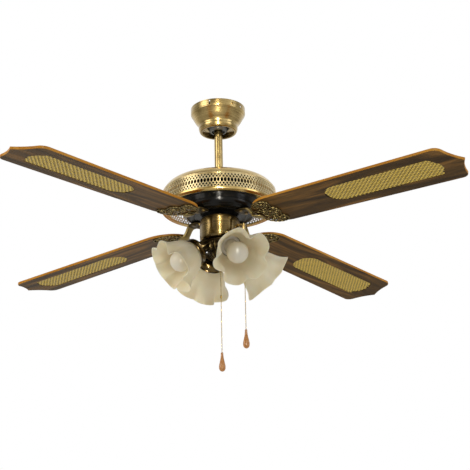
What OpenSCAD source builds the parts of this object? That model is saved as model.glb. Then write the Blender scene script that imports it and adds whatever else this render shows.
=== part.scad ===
// Four-blade ceiling fan on a short downrod, with a four-shade light kit and two pull chains.
// Origin: centre of the ceiling plate, on the ceiling. +Z up, so the fan hangs below z = 0.
// Millimetres and degrees. Azimuths run anticlockwise seen from above, 0 along +X.

/* [Suspension] */
// Radius of the hanger ball
ball_r = 22; // [20:0.5:24]
// Height of the ball's centre
ball_z = -40; // [-42:0.5:-38]
// Radius of the downrod
rod_r = 10; // [9:0.25:12]
// Bottom end of the downrod
rod_bottom_z = -189; // [-289:1:-180]
// Azimuth of the two canopy screws
canopy_screw_az = -55; // [-80:1:-20]

/* [Canopy] */
// Radius of the canopy at the ceiling
canopy_r = 66; // [62:0.5:72]
// Height of the canopy
canopy_h = 61.5; // [60:0.5:68]
// Thickness of the pressed sheet
sheet = 1.2; // [0.8:0.1:1.6]

/* [Motor housing] */
// Radius of the trim ring, the widest part of the housing
housing_r = 139.4; // [132:0.2:150]
// Number of openings round the pierced band
vent_count = 108; // [72:12:120]
// Radius of the turning motor body
rotor_r = 91; // [86:0.5:95]
// Depth of the turning motor body
rotor_h = 67; // [64:0.5:70]

/* [Blades] */
// Radius swept by the blade tips
tip_r = 660; // [560:5:760]
// Half the width of a blade near its tip
blade_half_w = 69.5; // [62:0.5:76]
// Thickness of a blade
blade_t = 6; // [5:0.5:7]
// Twist of each blade about its own length
blade_pitch = 6.9; // [4:0.1:10]
// Fall of each blade from root to tip
blade_droop = 1.9; // [0:0.1:3]
// Azimuth of the first blade at rest
blade_az = -38.6; // [-90:0.1:0]

/* [Light kit] */
// Azimuth of the first shade
shade_az = -66.3; // [-90:0.1:0]
// Tilt of the shades below level
shade_tilt = 36.6; // [30:0.1:45]
// Radius from the fan's axis to the shade necks
shade_neck_at = 65.3; // [64:0.1:72]
// Radius of the shade necks
neck_r = 27.5; // [26:0.25:28]
// Depth of a shade from its neck to its mouth
shade_depth = 76; // [66:1:90]
// Average radius of the ruffled mouth
mouth_r = 57; // [50:0.5:62]
// Waves round the mouth
ruffles = 6; // [4:1:8]
// Radius of the bulb globes
bulb_r = 25; // [20:0.5:27]

/* [Pull chains] */
// Radius of the bead chain
chain_r = 1.2; // [1:0.1:1.6]
// Length of a wooden pull
pull_len = 44.5; // [36:0.5:55]
// Radius of a wooden pull
pull_r = 7.8; // [6:0.1:9]

/* [Hidden] */
$fn = 72;

fit = 0.05;                       // radial gap of parts pushed together
over = 1;                         // how far a cutting shape runs past a face

// Suspension
swing_gap = 0.3;                  // ball to its seat
nib_r = 2.5;                      // seat pins that the ball swings on
ball_top = 13;
ball_pin_z = ball_z + 6;
cup_r = ball_r + 5.5;             // outside of the seat
rod_wall = 1.5;
rod_top_z = ball_z + ball_top + 3;
plate_r = 54;
plate_t = 2.5;
slot_at = 44;                     // from the centre to each ceiling slot
slot_w = 5;
slot_len = 12;
ear_w = 14;
canopy_screw_z = -8.5;

// Coupling and shaft
coupling_r = 14.5;
flange_z = rod_bottom_z - 1;      // top of the coupling's flange
flange_r = 24;
cover_z = flange_z - 3;           // top of the housing cover
coupling_pin_z = rod_bottom_z + 10;
set_screw_z = rod_bottom_z + 4;
shaft_r = 8;
shaft_bottom_z = cover_z - 109;

// Motor, measured down from the housing cover
rotor_top = cover_z - 21;
rotor_bottom = rotor_top - rotor_h;
rotor_mid = (rotor_top + rotor_bottom) / 2;
bearing_r = 17.5;
bearing_h = 11;
upper_bearing_z = rotor_top - 3 - bearing_h;
lower_bearing_z = rotor_bottom + 3;
ball_track_r = 12.75;
core_h = 24;
stator_r = 71.5;
air_gap = 0.5;

// Housing
band_top_z = cover_z - 25.6;
band_bottom_z = cover_z - 64.5;
lip_z = cover_z - 62.5;           // top edge of the trim ring
band_top_r = housing_r - 5;
band_bottom_r = housing_r - 2;

// Blades: the reference station is where the tip's corners are
station = tip_r - 26;
blade_z = rotor_bottom - 36;      // blade plane at the station
root_u = 112;
iron_t = 4;
lobe_at = [[150, 0], [152, 36], [152, -36]];
iron_screw_at = [[72, 10], [72, -10]];

// Switch housing
switch_top_z = rotor_bottom - 13.4;
switch_bottom_z = rotor_bottom - 60;
switch_r = 47.8;
plate_top_z = rotor_bottom - 6.8;
side_screw_z = switch_top_z - 3;
guide_az = -22.5;
guide_at = 60.6;
guide_z = switch_top_z - 14;
knob_az = 140;
knob_z = switch_top_z - 22;
knob_travel = 6;

// Light kit: distances along a shade's axis, from its neck
neck_z = switch_bottom_z - 35.3;
cup_back = -16;
arm_back = -50;
holder_top_z = 21.5;
hub_bottom_z = switch_bottom_z - 48;
finial_h = 9;
shade_wall = 2.4;
lobe_deep = 9;                    // half the in-and-out travel of the ruffle
lobe_long = 5;                    // half its travel along the axis
screw_turn = [90, 210, 330];

// Pull chains: hand-set routes of round numbers
light_route = [[0, 0, -383], [0, 0, -460], [0, 0, -536], [0, 0, -612]];
speed_route = [[56, -23, -309], [56, -23, -394], [56, -23, -480], [56, -23, -565]];
connector_z = -479;
speed_x = speed_route[0][0] * cos(guide_az) + speed_route[0][1] * sin(guide_az);
speed_y = speed_route[0][1] * cos(guide_az) - speed_route[0][0] * sin(guide_az);

// ---- shared geometry ----

function flip(p) = [for (i = [len(p) - 1 : -1 : 0]) p[i]];
function unit(v) = v / norm(v);
function square_to(a, b) = unit([a[1] - b[1], b[0] - a[0]]);
// A profile moved sideways by t: to the right of its direction when t is negative
function moved(p, t) = [for (i = [0 : len(p) - 1])
    let (j = max(i - 1, 0), k = min(i, len(p) - 2))
    p[i] + t * unit(square_to(p[j], p[j + 1]) + square_to(p[k], p[k + 1]))];
function arc(c, r, from, to, n) = [for (i = [0 : n])
    let (a = from + (to - from) * i / n) [c[0] + r[0] * cos(a), c[1] + r[1] * sin(a)]];
function bend(a, b, c, n) = [for (i = [0 : n])
    let (t = i / n) a * (1 - t) * (1 - t) + b * 2 * t * (1 - t) + c * t * t];
function mirrored(p) = concat(p, [for (q = flip(p)) [q[0], -q[1]]]);

// A thin shell turned from an outside profile that runs downwards
module turned_shell(profile, t) {
    rotate_extrude() polygon(concat(profile, flip(moved(profile, -t))));
}

module turned(profile) {
    rotate_extrude() polygon(profile);
}

module drop_cylinder(r, top, h) {
    translate([0, 0, top - h]) cylinder(r = r, h = h);
}

// A cylinder lying along X from x = a to x = b
module x_cylinder(r, a, b) {
    translate([a, 0, 0]) rotate([0, 90, 0]) cylinder(r = r, h = b - a);
}

module around(az) {
    rotate([0, 0, az]) children();
}

// Puts blade coordinates (length, width, height above mid-thickness) in place
module on_blade(i) {
    around(blade_az + 90 * i) translate([station, 0, blade_z]) rotate([0, blade_droop, 0])
        rotate([-blade_pitch, 0, 0]) translate([-station, 0, 0]) children();
}

// Puts +Z along a shade's axis, with z = 0 at its neck and +X pointing down and inwards
module on_shade(i) {
    around(shade_az + 90 * i) translate([shade_neck_at, 0, neck_z])
        rotate([0, 90 + shade_tilt, 0]) children();
}

// A closed tube of 8 sides swept along a hanging route
function route_at(route, t) = let (n = len(route) - 1, i = min(floor(t * n), n - 1), f = t * n - i)
    route[i] * (1 - f) + route[i + 1] * f;
module hanging_tube(route, rings) {
    sides = 8;
    points = [for (i = [0 : rings - 1], j = [0 : sides - 1])
        route_at(route, i / (rings - 1)) + chain_r * [cos(j * 360 / sides), sin(j * 360 / sides), 0]];
    walls = [for (i = [0 : rings - 2], j = [0 : sides - 1])
        let (k = (j + 1) % sides)
        [i * sides + j, i * sides + k, (i + 1) * sides + k, (i + 1) * sides + j]];
    top = [for (j = [sides - 1 : -1 : 0]) j];
    bottom = [for (j = [0 : sides - 1]) (rings - 1) * sides + j];
    polyhedron(points, concat([top], walls, [bottom]));
}

// ---- ceiling bracket and canopy ----

// Pressed ceiling plate with two slots, two straps and the seat that carries the ball
module hanger_bracket() {
    color("silver") difference() {
        union() {
            drop_cylinder(plate_r, 0, plate_t);
            for (s = [-1, 1]) {
                translate([s > 0 ? ball_r + 3 : -ball_r - 5.5, -13, ball_z - 4])
                    cube([2.5, 26, -ball_z + 4]);
                translate([0, 0, ball_z])
                    x_cylinder(nib_r, s > 0 ? ball_r - 3.5 : -ball_r - 4, s > 0 ? ball_r + 4 : 3.5 - ball_r);
            }
            for (s = [0, 180]) around(canopy_screw_az + s) {
                translate([plate_r - 8, -ear_w / 2, -plate_t]) cube([canopy_r - plate_r + 5.9, ear_w, plate_t]);
                translate([canopy_r - 4.6, -ear_w / 2, -14]) cube([2.5, ear_w, 14]);
            }
            difference() {
                translate([0, 0, ball_z]) sphere(r = cup_r);
                translate([0, 0, ball_z]) sphere(r = ball_r + swing_gap);
                translate([-40, -40, ball_z]) cube([80, 80, 40]);
                drop_cylinder(40, ball_z - 20, 20);
                drop_cylinder(ball_r - 6, ball_z, 40);
                translate([-rod_r - 1, 0, ball_z - 40]) cube([2 * rod_r + 2, 40, 41]);
            }
        }
        for (s = [-1, 1]) translate([s * slot_at, 0, -plate_t - over]) {
            translate([-(slot_len - slot_w) / 2, -slot_w / 2, 0])
                cube([slot_len - slot_w, slot_w, plate_t + 2 * over]);
            for (e = [-1, 1]) translate([e * (slot_len - slot_w) / 2, 0, 0])
                cylinder(d = slot_w, h = plate_t + 2 * over);
        }
        for (s = [0, 180]) around(canopy_screw_az + s) translate([0, 0, canopy_screw_z])
            x_cylinder(1.95 + fit, canopy_r - 6, canopy_r);
    }
}

canopy_profile = [[canopy_r, 0], [canopy_r, -15.5], [canopy_r - 1, -17], [canopy_r - 3.5, -20.5],
    [canopy_r - 6.5, -26], [canopy_r - 9.5, -31.5], [canopy_r - 13, -36.5], [canopy_r - 16.2, -40.5],
    [canopy_r - 18.2, -44], [canopy_r - 18.8, -47.5], [canopy_r - 18.6, 11 - canopy_h],
    [canopy_r - 19.2, 7.5 - canopy_h], [canopy_r - 20.6, 3.5 - canopy_h], [canopy_r - 22, 1 - canopy_h],
    [canopy_r - 24.5, -canopy_h], [canopy_r - 27.5, 0.4 - canopy_h]];

// Pressed bell that hides the bracket: screw holes, spare holes and a pair of upright slots
module canopy() {
    color("#9c8248") difference() {
        turned_shell(canopy_profile, sheet);
        for (s = [0, 180]) {
            around(canopy_screw_az + s) translate([0, 0, canopy_screw_z])
                x_cylinder(2, canopy_r - 3, canopy_r + over);
            around(canopy_screw_az + 22 + s) translate([0, 0, canopy_screw_z - 1])
                x_cylinder(2.4, canopy_r - 3, canopy_r + over);
            around(canopy_screw_az - 52 + s) translate([canopy_r - 3, -1.6, -13.5]) cube([5, 3.2, 11]);
        }
    }
}

module canopy_screws() {
    color("#b09a5c") for (s = [0, 180]) around(canopy_screw_az + s) translate([0, 0, canopy_screw_z]) {
        x_cylinder(1.95, canopy_r - 7, canopy_r + 1);
        difference() {
            x_cylinder(3.8, canopy_r + fit, canopy_r + 2);
            translate([canopy_r + 1.2, -5, -0.5]) cube([2, 10, 1]);
        }
    }
}

module terminal_block() {
    color("ivory") translate([-16, 30, -plate_t - 13]) difference() {
        cube([32, 16, 13]);
        for (i = [0 : 2]) translate([6 + i * 10, 0, 6]) rotate([-90, 0, 0])
            translate([0, 0, -over]) cylinder(r = 2.2, h = 18);
        for (i = [0 : 2], y = [4, 12]) translate([6 + i * 10, y, -over]) cylinder(r = 1.6, h = 5);
    }
}

module hanger_ball() {
    color("#3a3a3a") translate([0, 0, ball_z]) difference() {
        sphere(r = ball_r);
        translate([-30, -30, ball_top]) cube([60, 60, 20]);
        translate([-30, -30, -37]) cube([60, 60, 20]);
        translate([0, 0, -30]) cylinder(r = rod_r + fit, h = 60);
        around(90) translate([0, 0, ball_pin_z - ball_z]) x_cylinder(3 + fit, -30, 30);
        for (s = [0, 180]) around(s) {
            x_cylinder(nib_r + 0.08, ball_r - 4, ball_r + 1);
            translate([ball_r - 4, -nib_r - 0.08, 0]) cube([6, 2 * nib_r + 0.16, 20]);
        }
    }
}

module ball_pin() {
    color("silver") translate([0, 0, ball_pin_z]) around(90) x_cylinder(3, -18, 18);
}

module downrod() {
    color("#a88c4c") difference() {
        drop_cylinder(rod_r, rod_top_z, rod_top_z - rod_bottom_z);
        drop_cylinder(rod_r - rod_wall, rod_top_z + over, rod_top_z - rod_bottom_z + 2 * over);
        translate([0, 0, ball_pin_z]) around(90) x_cylinder(3 + fit, -20, 20);
        translate([0, 0, coupling_pin_z]) x_cylinder(3 + fit, -20, 20);
    }
}

// ---- coupling, shaft and motor ----

module flange_screw_places() {
    for (a = [0, 120, 240]) around(a) translate([flange_r - 4.5, 0, 0]) children();
}

module rod_coupling() {
    color("#5a5650") difference() {
        union() {
            drop_cylinder(coupling_r, flange_z + 20, 20);
            drop_cylinder(flange_r, flange_z, 3);
        }
        drop_cylinder(rod_r + fit, flange_z + 20 + over, 20 + over - 1);
        drop_cylinder(shaft_r + fit, flange_z + 2, 10);
        translate([0, 0, coupling_pin_z]) x_cylinder(3 + fit, -30, 30);
        translate([0, 0, set_screw_z]) around(90) x_cylinder(2.5 + fit, -30, 30);
        flange_screw_places() translate([0, 0, flange_z - 4]) cylinder(r = 2 + fit, h = 8);
    }
}

module coupling_pin() {
    color("silver") translate([0, 0, coupling_pin_z]) {
        difference() {
            x_cylinder(3, -18, 19);
            translate([16.8, 0, -5]) cylinder(r = 0.8, h = 10);
        }
        x_cylinder(4.6, -20, -18);
    }
}

module coupling_screws() {
    color("silver") for (s = [90, 270]) around(s) translate([0, 0, set_screw_z]) {
        x_cylinder(2.5, rod_r + fit, 18);
        x_cylinder(4.2, coupling_r + fit, 17, $fn = 6);
    }
}

coupling_cover_profile = [[13, flange_z + 24.5], [18, flange_z + 23], [23.5, flange_z + 18],
    [28, flange_z + 10], [31, flange_z + 2], [32, cover_z]];

module coupling_cover() {
    color("#9c8248") turned_shell(concat([[rod_r + 0.8, flange_z + 25]], coupling_cover_profile), sheet);
}

module motor_shaft() {
    color("#8a8a88") difference() {
        drop_cylinder(shaft_r, flange_z + 0.6, flange_z + 0.6 - shaft_bottom_z);
        drop_cylinder(shaft_r - 2.5, flange_z + 2, 200);
    }
}

module stator_core() {
    color("#6c6e70") translate([0, 0, rotor_mid - core_h / 2]) linear_extrude(core_h) difference() {
        union() {
            circle(r = 34);
            for (i = [0 : 15]) rotate(i * 22.5) translate([30, -4]) square([38, 8]);
            difference() {
                circle(r = stator_r);
                circle(r = stator_r - 5.5);
                for (i = [0 : 15]) rotate((i + 0.5) * 22.5) translate([60, -1.5]) square([20, 3]);
            }
        }
        circle(r = shaft_r + fit);
    }
}

module stator_windings() {
    color("#a4552b") for (i = [0 : 15]) around(i * 22.5) translate([36, 0, rotor_mid]) difference() {
        translate([0, -6.5, -core_h / 2 - 5]) cube([24, 13, core_h + 10]);
        translate([-over, -4 - fit, -core_h / 2 - fit]) cube([24 + 2 * over, 8 + 2 * fit, core_h + 2 * fit]);
    }
}

module two_bearings() {
    for (z = [upper_bearing_z, lower_bearing_z]) translate([0, 0, z]) children();
}

module ring(r, bore, h) {
    difference() {
        cylinder(r = r, h = h);
        translate([0, 0, -over]) cylinder(r = bore, h = h + 2 * over);
    }
}

module bearing_inner_rings() {
    color("#b8babc") two_bearings() ring(ball_track_r - 2.25, shaft_r + fit, bearing_h);
}

module bearing_outer_rings() {
    color("#a8aaac") two_bearings() ring(bearing_r, ball_track_r + 2.25, bearing_h);
}

module bearing_balls() {
    color("#d8dadc") two_bearings() translate([0, 0, bearing_h / 2]) {
        for (i = [0 : 7]) around(i * 45) translate([ball_track_r, 0, 0]) sphere(r = 2.15, $fn = 24);
        translate([0, 0, -0.6]) ring(ball_track_r + 0.6, ball_track_r - 0.6, 1.2);
    }
}

cover_profile = [[shaft_r + 0.6, cover_z], [60, cover_z - 0.6], [housing_r - 39.4, cover_z - 3.5],
    [housing_r - 21.4, cover_z - 7.6], [housing_r - 13.6, cover_z - 13], [housing_r - 8.4, cover_z - 19],
    [housing_r - 5.2, band_top_z]];

// Domed top of the housing, clamped under the coupling's flange
module housing_cover() {
    color("#a08648") difference() {
        turned_shell(cover_profile, sheet);
        flange_screw_places() translate([0, 0, cover_z - 4]) cylinder(r = 2 + fit, h = 8);
    }
}

module housing_screws() {
    color("silver") flange_screw_places() {
        drop_cylinder(2, flange_z + 2, 12);
        drop_cylinder(3.6, flange_z + 2 + fit, 2);
        drop_cylinder(3.4, cover_z - sheet - 0.2, 3, $fn = 6);
    }
}

// Pierced side wall: a row of tall pointed openings round the motor
module vent_band() {
    mid = (band_top_z + lip_z) / 2;
    vent = [[0, -6.4], [1.9, -2.6], [1.9, 2.6], [0, 6.4], [-1.9, 2.6], [-1.9, -2.6]];
    color("#8c7442") difference() {
        turned([[band_top_r, band_top_z - 0.7], [band_bottom_r, band_bottom_z],
            [band_bottom_r - 1.5, band_bottom_z], [band_top_r - 1.5, band_top_z - 0.7]]);
        for (i = [0 : vent_count - 1]) around(i * 360 / vent_count) translate([band_top_r - 6, 0, mid])
            rotate([90, 0, 90]) linear_extrude(16) polygon(vent);
    }
}

trim_profile = [[housing_r, lip_z], [housing_r, lip_z - 5.4], [housing_r - 0.8, lip_z - 6.8],
    [housing_r - 2.6, lip_z - 7.4], [housing_r - 4.6, lip_z - 6.6], [housing_r - 5.8, lip_z - 5],
    [housing_r - 8, lip_z - 6], [housing_r - 12.6, lip_z - 8.2], [housing_r - 18.4, lip_z - 9.1],
    [housing_r - 24.4, lip_z - 8.3], [housing_r - 29, lip_z - 6.2], [housing_r - 30.4, lip_z - 4]];

module trim_ring() {
    color("#9c8248") turned_shell(trim_profile, sheet);
}

module rotor_upper_shell() {
    color("#3c3b38") difference() {
        union() {
            turned([[bearing_r - 5, rotor_top], [rotor_r - 6, rotor_top], [rotor_r, rotor_top - 6],
                [rotor_r, rotor_mid + 2.5], [rotor_r + 3, rotor_mid + 2.5], [rotor_r + 3, rotor_mid],
                [rotor_r - 3, rotor_mid], [rotor_r - 3, rotor_top - 7], [rotor_r - 7, rotor_top - 3],
                [bearing_r - 5, rotor_top - 3]]);
            difference() {
                drop_cylinder(bearing_r + 4, rotor_top, bearing_h + 3);
                drop_cylinder(bearing_r - 5, rotor_top + over, 30);
            }
        }
        drop_cylinder(bearing_r + fit, rotor_top - 3, 30);
        for (i = [0 : 7]) around(i * 45) translate([52, 0, rotor_top - 4]) cylinder(r = 8, h = 6);
    }
}

module rotor_lower_shell() {
    color("#2f2e2b") difference() {
        union() {
            turned([[bearing_r - 5, rotor_bottom], [rotor_r - 13, rotor_bottom],
                [rotor_r - 7, rotor_bottom + 2], [rotor_r - 2.5, rotor_bottom + 8],
                [rotor_r, rotor_bottom + 18], [rotor_r, rotor_mid - 2.5],
                [rotor_r + 3, rotor_mid - 2.5], [rotor_r + 3, rotor_mid], [rotor_r - 3, rotor_mid],
                [rotor_r - 3, rotor_bottom + 18], [rotor_r - 6, rotor_bottom + 9],
                [rotor_r - 10, rotor_bottom + 4.5], [rotor_r - 14, rotor_bottom + 3],
                [bearing_r - 5, rotor_bottom + 3]]);
            difference() {
                drop_cylinder(bearing_r + 4, rotor_bottom + bearing_h + 3, bearing_h + 3);
                drop_cylinder(bearing_r - 5, rotor_bottom + 30, 40);
            }
            iron_screw_places() drop_cylinder(5, rotor_bottom + 8, 8);
        }
        drop_cylinder(bearing_r + fit, rotor_bottom + 30, 27);
        iron_screw_places() drop_cylinder(2.5 + fit, rotor_bottom + 7, 10);
    }
}

module rotor_cage() {
    color("#84868a") translate([0, 0, rotor_mid]) {
        translate([0, 0, -core_h / 2]) ring(rotor_r - 3 - fit, stator_r + air_gap, core_h);
        for (s = [-1, 1]) translate([0, 0, s * (core_h / 2 + 2) - 2]) ring(rotor_r - 6, stator_r + 4, 4);
    }
}

// ---- blades ----

module iron_screw_places() {
    for (i = [0 : 3], p = iron_screw_at) around(blade_az + 90 * i) translate([p[0], p[1], 0]) children();
}

module iron_outline() {
    for (p = lobe_at) translate(p) circle(r = 26);
    for (s = [-1, 1]) {
        translate([129, s * 20]) circle(r = 19);
        translate([178, s * 46]) circle(r = 9);
    }
    translate([98, -14]) square([30, 28]);
}

module iron_piercings() {
    for (p = lobe_at) translate(p) {
        for (a = [22.5 : 45 : 360]) rotate(a) translate([17, 0]) circle(r = 4.4);
        circle(r = 2.5 + fit);
    }
    for (s = [-1, 1]) {
        translate([125, s * 22]) circle(r = 5.5);
        translate([180, s * 47]) circle(r = 3.5);
        translate([174, s * 19]) circle(r = 2.6);
    }
}

// Cast arm: a foot screwed under the motor, a cranked bar and a pierced plate under the blade
module blade_iron(i) {
    bar_z = rotor_bottom;
    color("#4a3f28") {
        around(blade_az + 90 * i) difference() {
            union() {
                translate([0, 0, bar_z - 5]) linear_extrude(5) {
                    translate([58, -17]) square([24, 34]);
                    for (s = [-1, 1]) translate([60, s * 9]) circle(r = 8);
                }
                translate([0, 13, 0]) rotate([90, 0, 0]) linear_extrude(26)
                    polygon([[80, bar_z - 5], [80, bar_z], [91, bar_z - 0.5], [98, bar_z - 5],
                        [106, bar_z - 19], [112, bar_z - 25], [126, bar_z - 26.2], [126, bar_z - 30],
                        [108, bar_z - 29.5], [99, bar_z - 22], [92, bar_z - 9], [87, bar_z - 5.5]]);
            }
            for (p = iron_screw_at) translate([p[0], p[1], bar_z - 10]) cylinder(r = 2.5 + fit, h = 20);
        }
        on_blade(i) {
            translate([0, 0, -blade_t / 2 - iron_t - fit]) linear_extrude(iron_t) difference() {
                iron_outline();
                iron_piercings();
            }
            for (p = lobe_at) translate([p[0], p[1], -blade_t / 2 - iron_t - 1.4]) {
                ring(11.5, 9.5, 2);
                ring(25, 23, 2);
            }
        }
    }
}

module iron_screws() {
    color("#6b5c38") iron_screw_places() {
        drop_cylinder(2.5, rotor_bottom + 6, 11.5);
        drop_cylinder(4.4, rotor_bottom - 5 - fit, 2.2);
    }
}

blade_outline = mirrored(concat(
    arc([root_u + 66, 0], [66, blade_half_w - 8], 180, 90, 8),
    arc([station - 17, blade_half_w - 19.5], [19.5, 19.5], 90, 8, 7),
    bend([station + 3, blade_half_w - 20], [station + 9, 24], [tip_r, 0.6], 6)));

cane_outline = mirrored(concat(
    arc([350, 0], [39, 34], 180, 90, 8),
    arc([station - 48, blade_half_w - 40.5], [7, 7], 90, 20, 3),
    bend([station - 40, 27], [station - 28, 12], [station - 28, 0.5], 4)));

module cane_shape(grow) {
    polygon([for (p = cane_outline) p + grow * unit(p - [station - 160, 0])]);
}

module blade(i) {
    color("#5a3d22") on_blade(i) difference() {
        translate([0, 0, -blade_t / 2]) linear_extrude(blade_t) polygon(blade_outline);
        translate([0, 0, -blade_t / 2 - over]) linear_extrude(over + 1.8) cane_shape(0.3);
        for (p = lobe_at) translate([p[0], p[1], -blade_t]) cylinder(r = 2.5 + fit, h = 2 * blade_t);
    }
}

module cane_panels() {
    color("#b09a45") for (i = [0 : 3]) on_blade(i)
        translate([0, 0, -blade_t / 2 + 0.3]) linear_extrude(1.5 - fit) cane_shape(0);
}

module blade_screws() {
    color("#6b5c38") for (i = [0 : 3]) on_blade(i) for (p = lobe_at) translate([p[0], p[1], 0]) {
        drop_cylinder(2.5, blade_t / 2 - 0.5, blade_t + iron_t + 0.5);
        drop_cylinder(4.6, -blade_t / 2 - iron_t - 2 * fit, 2);
    }
}

// ---- switch housing ----

module switch_plate() {
    color("#4a3f28") difference() {
        turned([[shaft_r + fit, plate_top_z], [switch_r - 3, plate_top_z], [switch_r - 1.2, plate_top_z - 2],
            [switch_r - 1.2, switch_top_z - 6], [switch_r - 2.7, switch_top_z - 6],
            [switch_r - 2.7, plate_top_z - 2.4], [switch_r - 3.6, plate_top_z - 1.5],
            [shaft_r + fit, plate_top_z - 1.5]]);
        side_screw_holes(1.6 + fit);
    }
}

module side_screw_holes(r) {
    for (a = [60, 180, 300]) around(a) translate([0, 0, side_screw_z]) x_cylinder(r, switch_r - 6, switch_r + 4);
}

module shaft_nut() {
    color("silver") translate([0, 0, plate_top_z - 8]) difference() {
        cylinder(r = 14, h = 6.4, $fn = 6);
        translate([0, 0, -over]) cylinder(r = shaft_r + fit, h = 10);
    }
}

switch_profile = [[switch_r, switch_top_z], [switch_r, switch_bottom_z + 4],
    [switch_r - 1.2, switch_bottom_z + 1.2], [switch_r - 4, switch_bottom_z], [6, switch_bottom_z]];

// Spun brass cup with a way through for the chain guide and a slot for the reversing knob
module switch_housing() {
    color("#a88c4c") difference() {
        turned_shell(switch_profile, 1);
        side_screw_holes(1.6 + fit);
        around(guide_az) translate([0, 0, guide_z]) x_cylinder(3.6, switch_r - 5, switch_r + 5);
        around(knob_az) translate([switch_r - 5, -5.5, knob_z - 2.4]) cube([8, 11, 4.8]);
    }
}

module switch_housing_screws() {
    color("#b09a5c") for (a = [60, 180, 300]) around(a) translate([0, 0, side_screw_z]) {
        x_cylinder(1.6, switch_r - 4, switch_r + 1);
        x_cylinder(3, switch_r + fit, switch_r + 1.8);
    }
}

module capacitor() {
    color("#2a2a2a") translate([-38, -22, switch_bottom_z + 6]) cube([18, 36, 24]);
}

module speed_switch() {
    color("#d8d4c8") around(guide_az) {
        translate([24, 0, guide_z - 8]) cylinder(r = 12, h = 16);
        translate([0, 0, guide_z]) x_cylinder(3.4, 34, 40);
    }
}

module reverse_switch() {
    color("#1f1f1f") around(knob_az) difference() {
        translate([36, -11, knob_z - 6]) cube([8.5, 22, 12]);
        translate([40, -5.5, knob_z - 2.4]) cube([8, 11, 4.8]);
    }
}

// Rests at one end of its slot and slides the knob's travel to the other
module reverse_knob() {
    color("#111111") around(knob_az) translate([40.5, -knob_travel / 2 - 2, knob_z - 2])
        cube([switch_r + 2.5 - 40.5, 4, 4]);
}

// Turned elbow: a stub through the housing wall and a nozzle that the chain drops out of
module chain_guide() {
    color("#b09a5c") around(guide_az) difference() {
        union() {
            translate([0, 0, guide_z]) x_cylinder(3.4, 40 + fit, guide_at);
            translate([0, 0, guide_z]) x_cylinder(5.2, switch_r + fit, switch_r + 2);
            translate([guide_at, 0, guide_z]) {
                sphere(r = 4.2);
                drop_cylinder(4.2, 0, 20);
                translate([0, 0, -22]) cylinder(r1 = 5.6, r2 = 4.2, h = 4);
            }
        }
        translate([speed_x, speed_y, -340]) cylinder(r = chain_r + 0.7, h = 340 + speed_route[0][2]);
    }
}

// ---- light kit ----

// Cast hub under the switch housing: a hollow collar for the arms over a turned drop
module light_hub() {
    top = switch_bottom_z - fit;
    color("#4a3f28") difference() {
        turned([[5, top + 8], [5.8, top + 8], [5.8, top], [26, top], [30, top - 3], [31, top - 9],
            [28, top - 15], [21, top - 18], [19, top - 21], [22.5, top - 26], [22, top - 33],
            [17, top - 39], [10, top - 43], [8, hub_bottom_z], [5, hub_bottom_z]]);
        drop_cylinder(5.8 - 1.5, top + 9, 20);
        turned([[0, top - 2], [24, top - 2], [26, top - 5], [26, top - 11], [18, top - 15], [17, top - 20],
            [17, top - 34], [10, top - 38], [0, top - 38]]);
        drop_cylinder(5, top - 37, 20);
        for (i = [0 : 3]) on_shade(i) translate([0, 0, arm_back - 4]) cylinder(r = 6.5 + fit, h = 30);
    }
}

module light_switch() {
    color("#d8d4c8") difference() {
        drop_cylinder(12, switch_bottom_z - 22, 12);
        drop_cylinder(2.4, switch_bottom_z - 32, 10);
    }
}

module finial() {
    top = hub_bottom_z - fit;
    color("#b8a060") difference() {
        turned([[0, top + 6], [4.9, top + 6], [4.9, top], [9, top], [9.6, top - 2.5], [8, top - 5],
            [5, top - 6.5], [3.6, top - finial_h], [0, top - finial_h]]);
        translate([0, 0, top - 20]) cylinder(r = chain_r + 0.7, h = 30);
    }
}

// Arm tube and the cup that grips a shade's neck, one of each a side
module shade_holders() {
    color("#7a6538") for (i = [0 : 3]) on_shade(i) difference() {
        union() {
            translate([0, 0, arm_back]) cylinder(r = 6.5, h = cup_back - arm_back + 1);
            turned([[0, cup_back], [14, cup_back], [24, cup_back + 1.5], [29.5, cup_back + 5],
                [31.2, cup_back + 10], [31.2, 2], [32.4, 3], [32.4, 4.5], [30.2, 4.5], [30, 3],
                [30, cup_back + 10], [28.4, cup_back + 6], [23.5, cup_back + 2.8], [0, cup_back + 1.4]]);
        }
        translate([0, 0, arm_back - over]) cylinder(r = 4.5, h = 60);
        for (a = screw_turn) around(a) translate([0, 0, -4]) x_cylinder(1.8 + fit, 26, 36);
    }
}

module thumb_screws() {
    color("#c0aa68") for (i = [0 : 3], a = screw_turn) on_shade(i) around(a) translate([0, 0, -4]) {
        x_cylinder(1.8, neck_r + 0.4, 36);
        x_cylinder(3.8, 34, 39);
    }
}

module lampholders() {
    color("#e8e4d8") for (i = [0 : 3]) on_shade(i) difference() {
        translate([0, 0, cup_back + 3.2]) union() {
            cylinder(r = 17, h = holder_top_z - cup_back - 3.5);
            cylinder(r = 19.5, h = 5);
        }
        translate([0, 0, cup_back + 9]) cylinder(r = 13.2, h = 60);
        translate([0, 0, cup_back - 10]) cylinder(r = 3, h = 40);
    }
}

module bulbs() {
    centre = 43;
    color("#f2ead8") for (i = [0 : 3]) on_shade(i) rotate_extrude() polygon(concat(
        [[0, cup_back + 9.5], [5, cup_back + 9.5], [6, cup_back + 12], [12.9, cup_back + 14], [12.9, holder_top_z]],
        arc([0, centre], [bulb_r, bulb_r], -48, 90, 16), [[0, holder_top_z]]));
}

// Outside of a shade: [distance from the neck, radius] before the ruffle is added
shade_line = [[-8.4, neck_r + 1.1], [-6, neck_r + 1.1], [-5, neck_r - 0.3], [0, neck_r],
    [5.2, neck_r + 1.4], [8, neck_r + 4.5], [12, neck_r + 8.5], [22, neck_r + 15], [34, neck_r + 19], [46, neck_r + 21.5], [58, neck_r + 24.5],
    [68, mouth_r - 1], [shade_depth, mouth_r + 3]];

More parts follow.
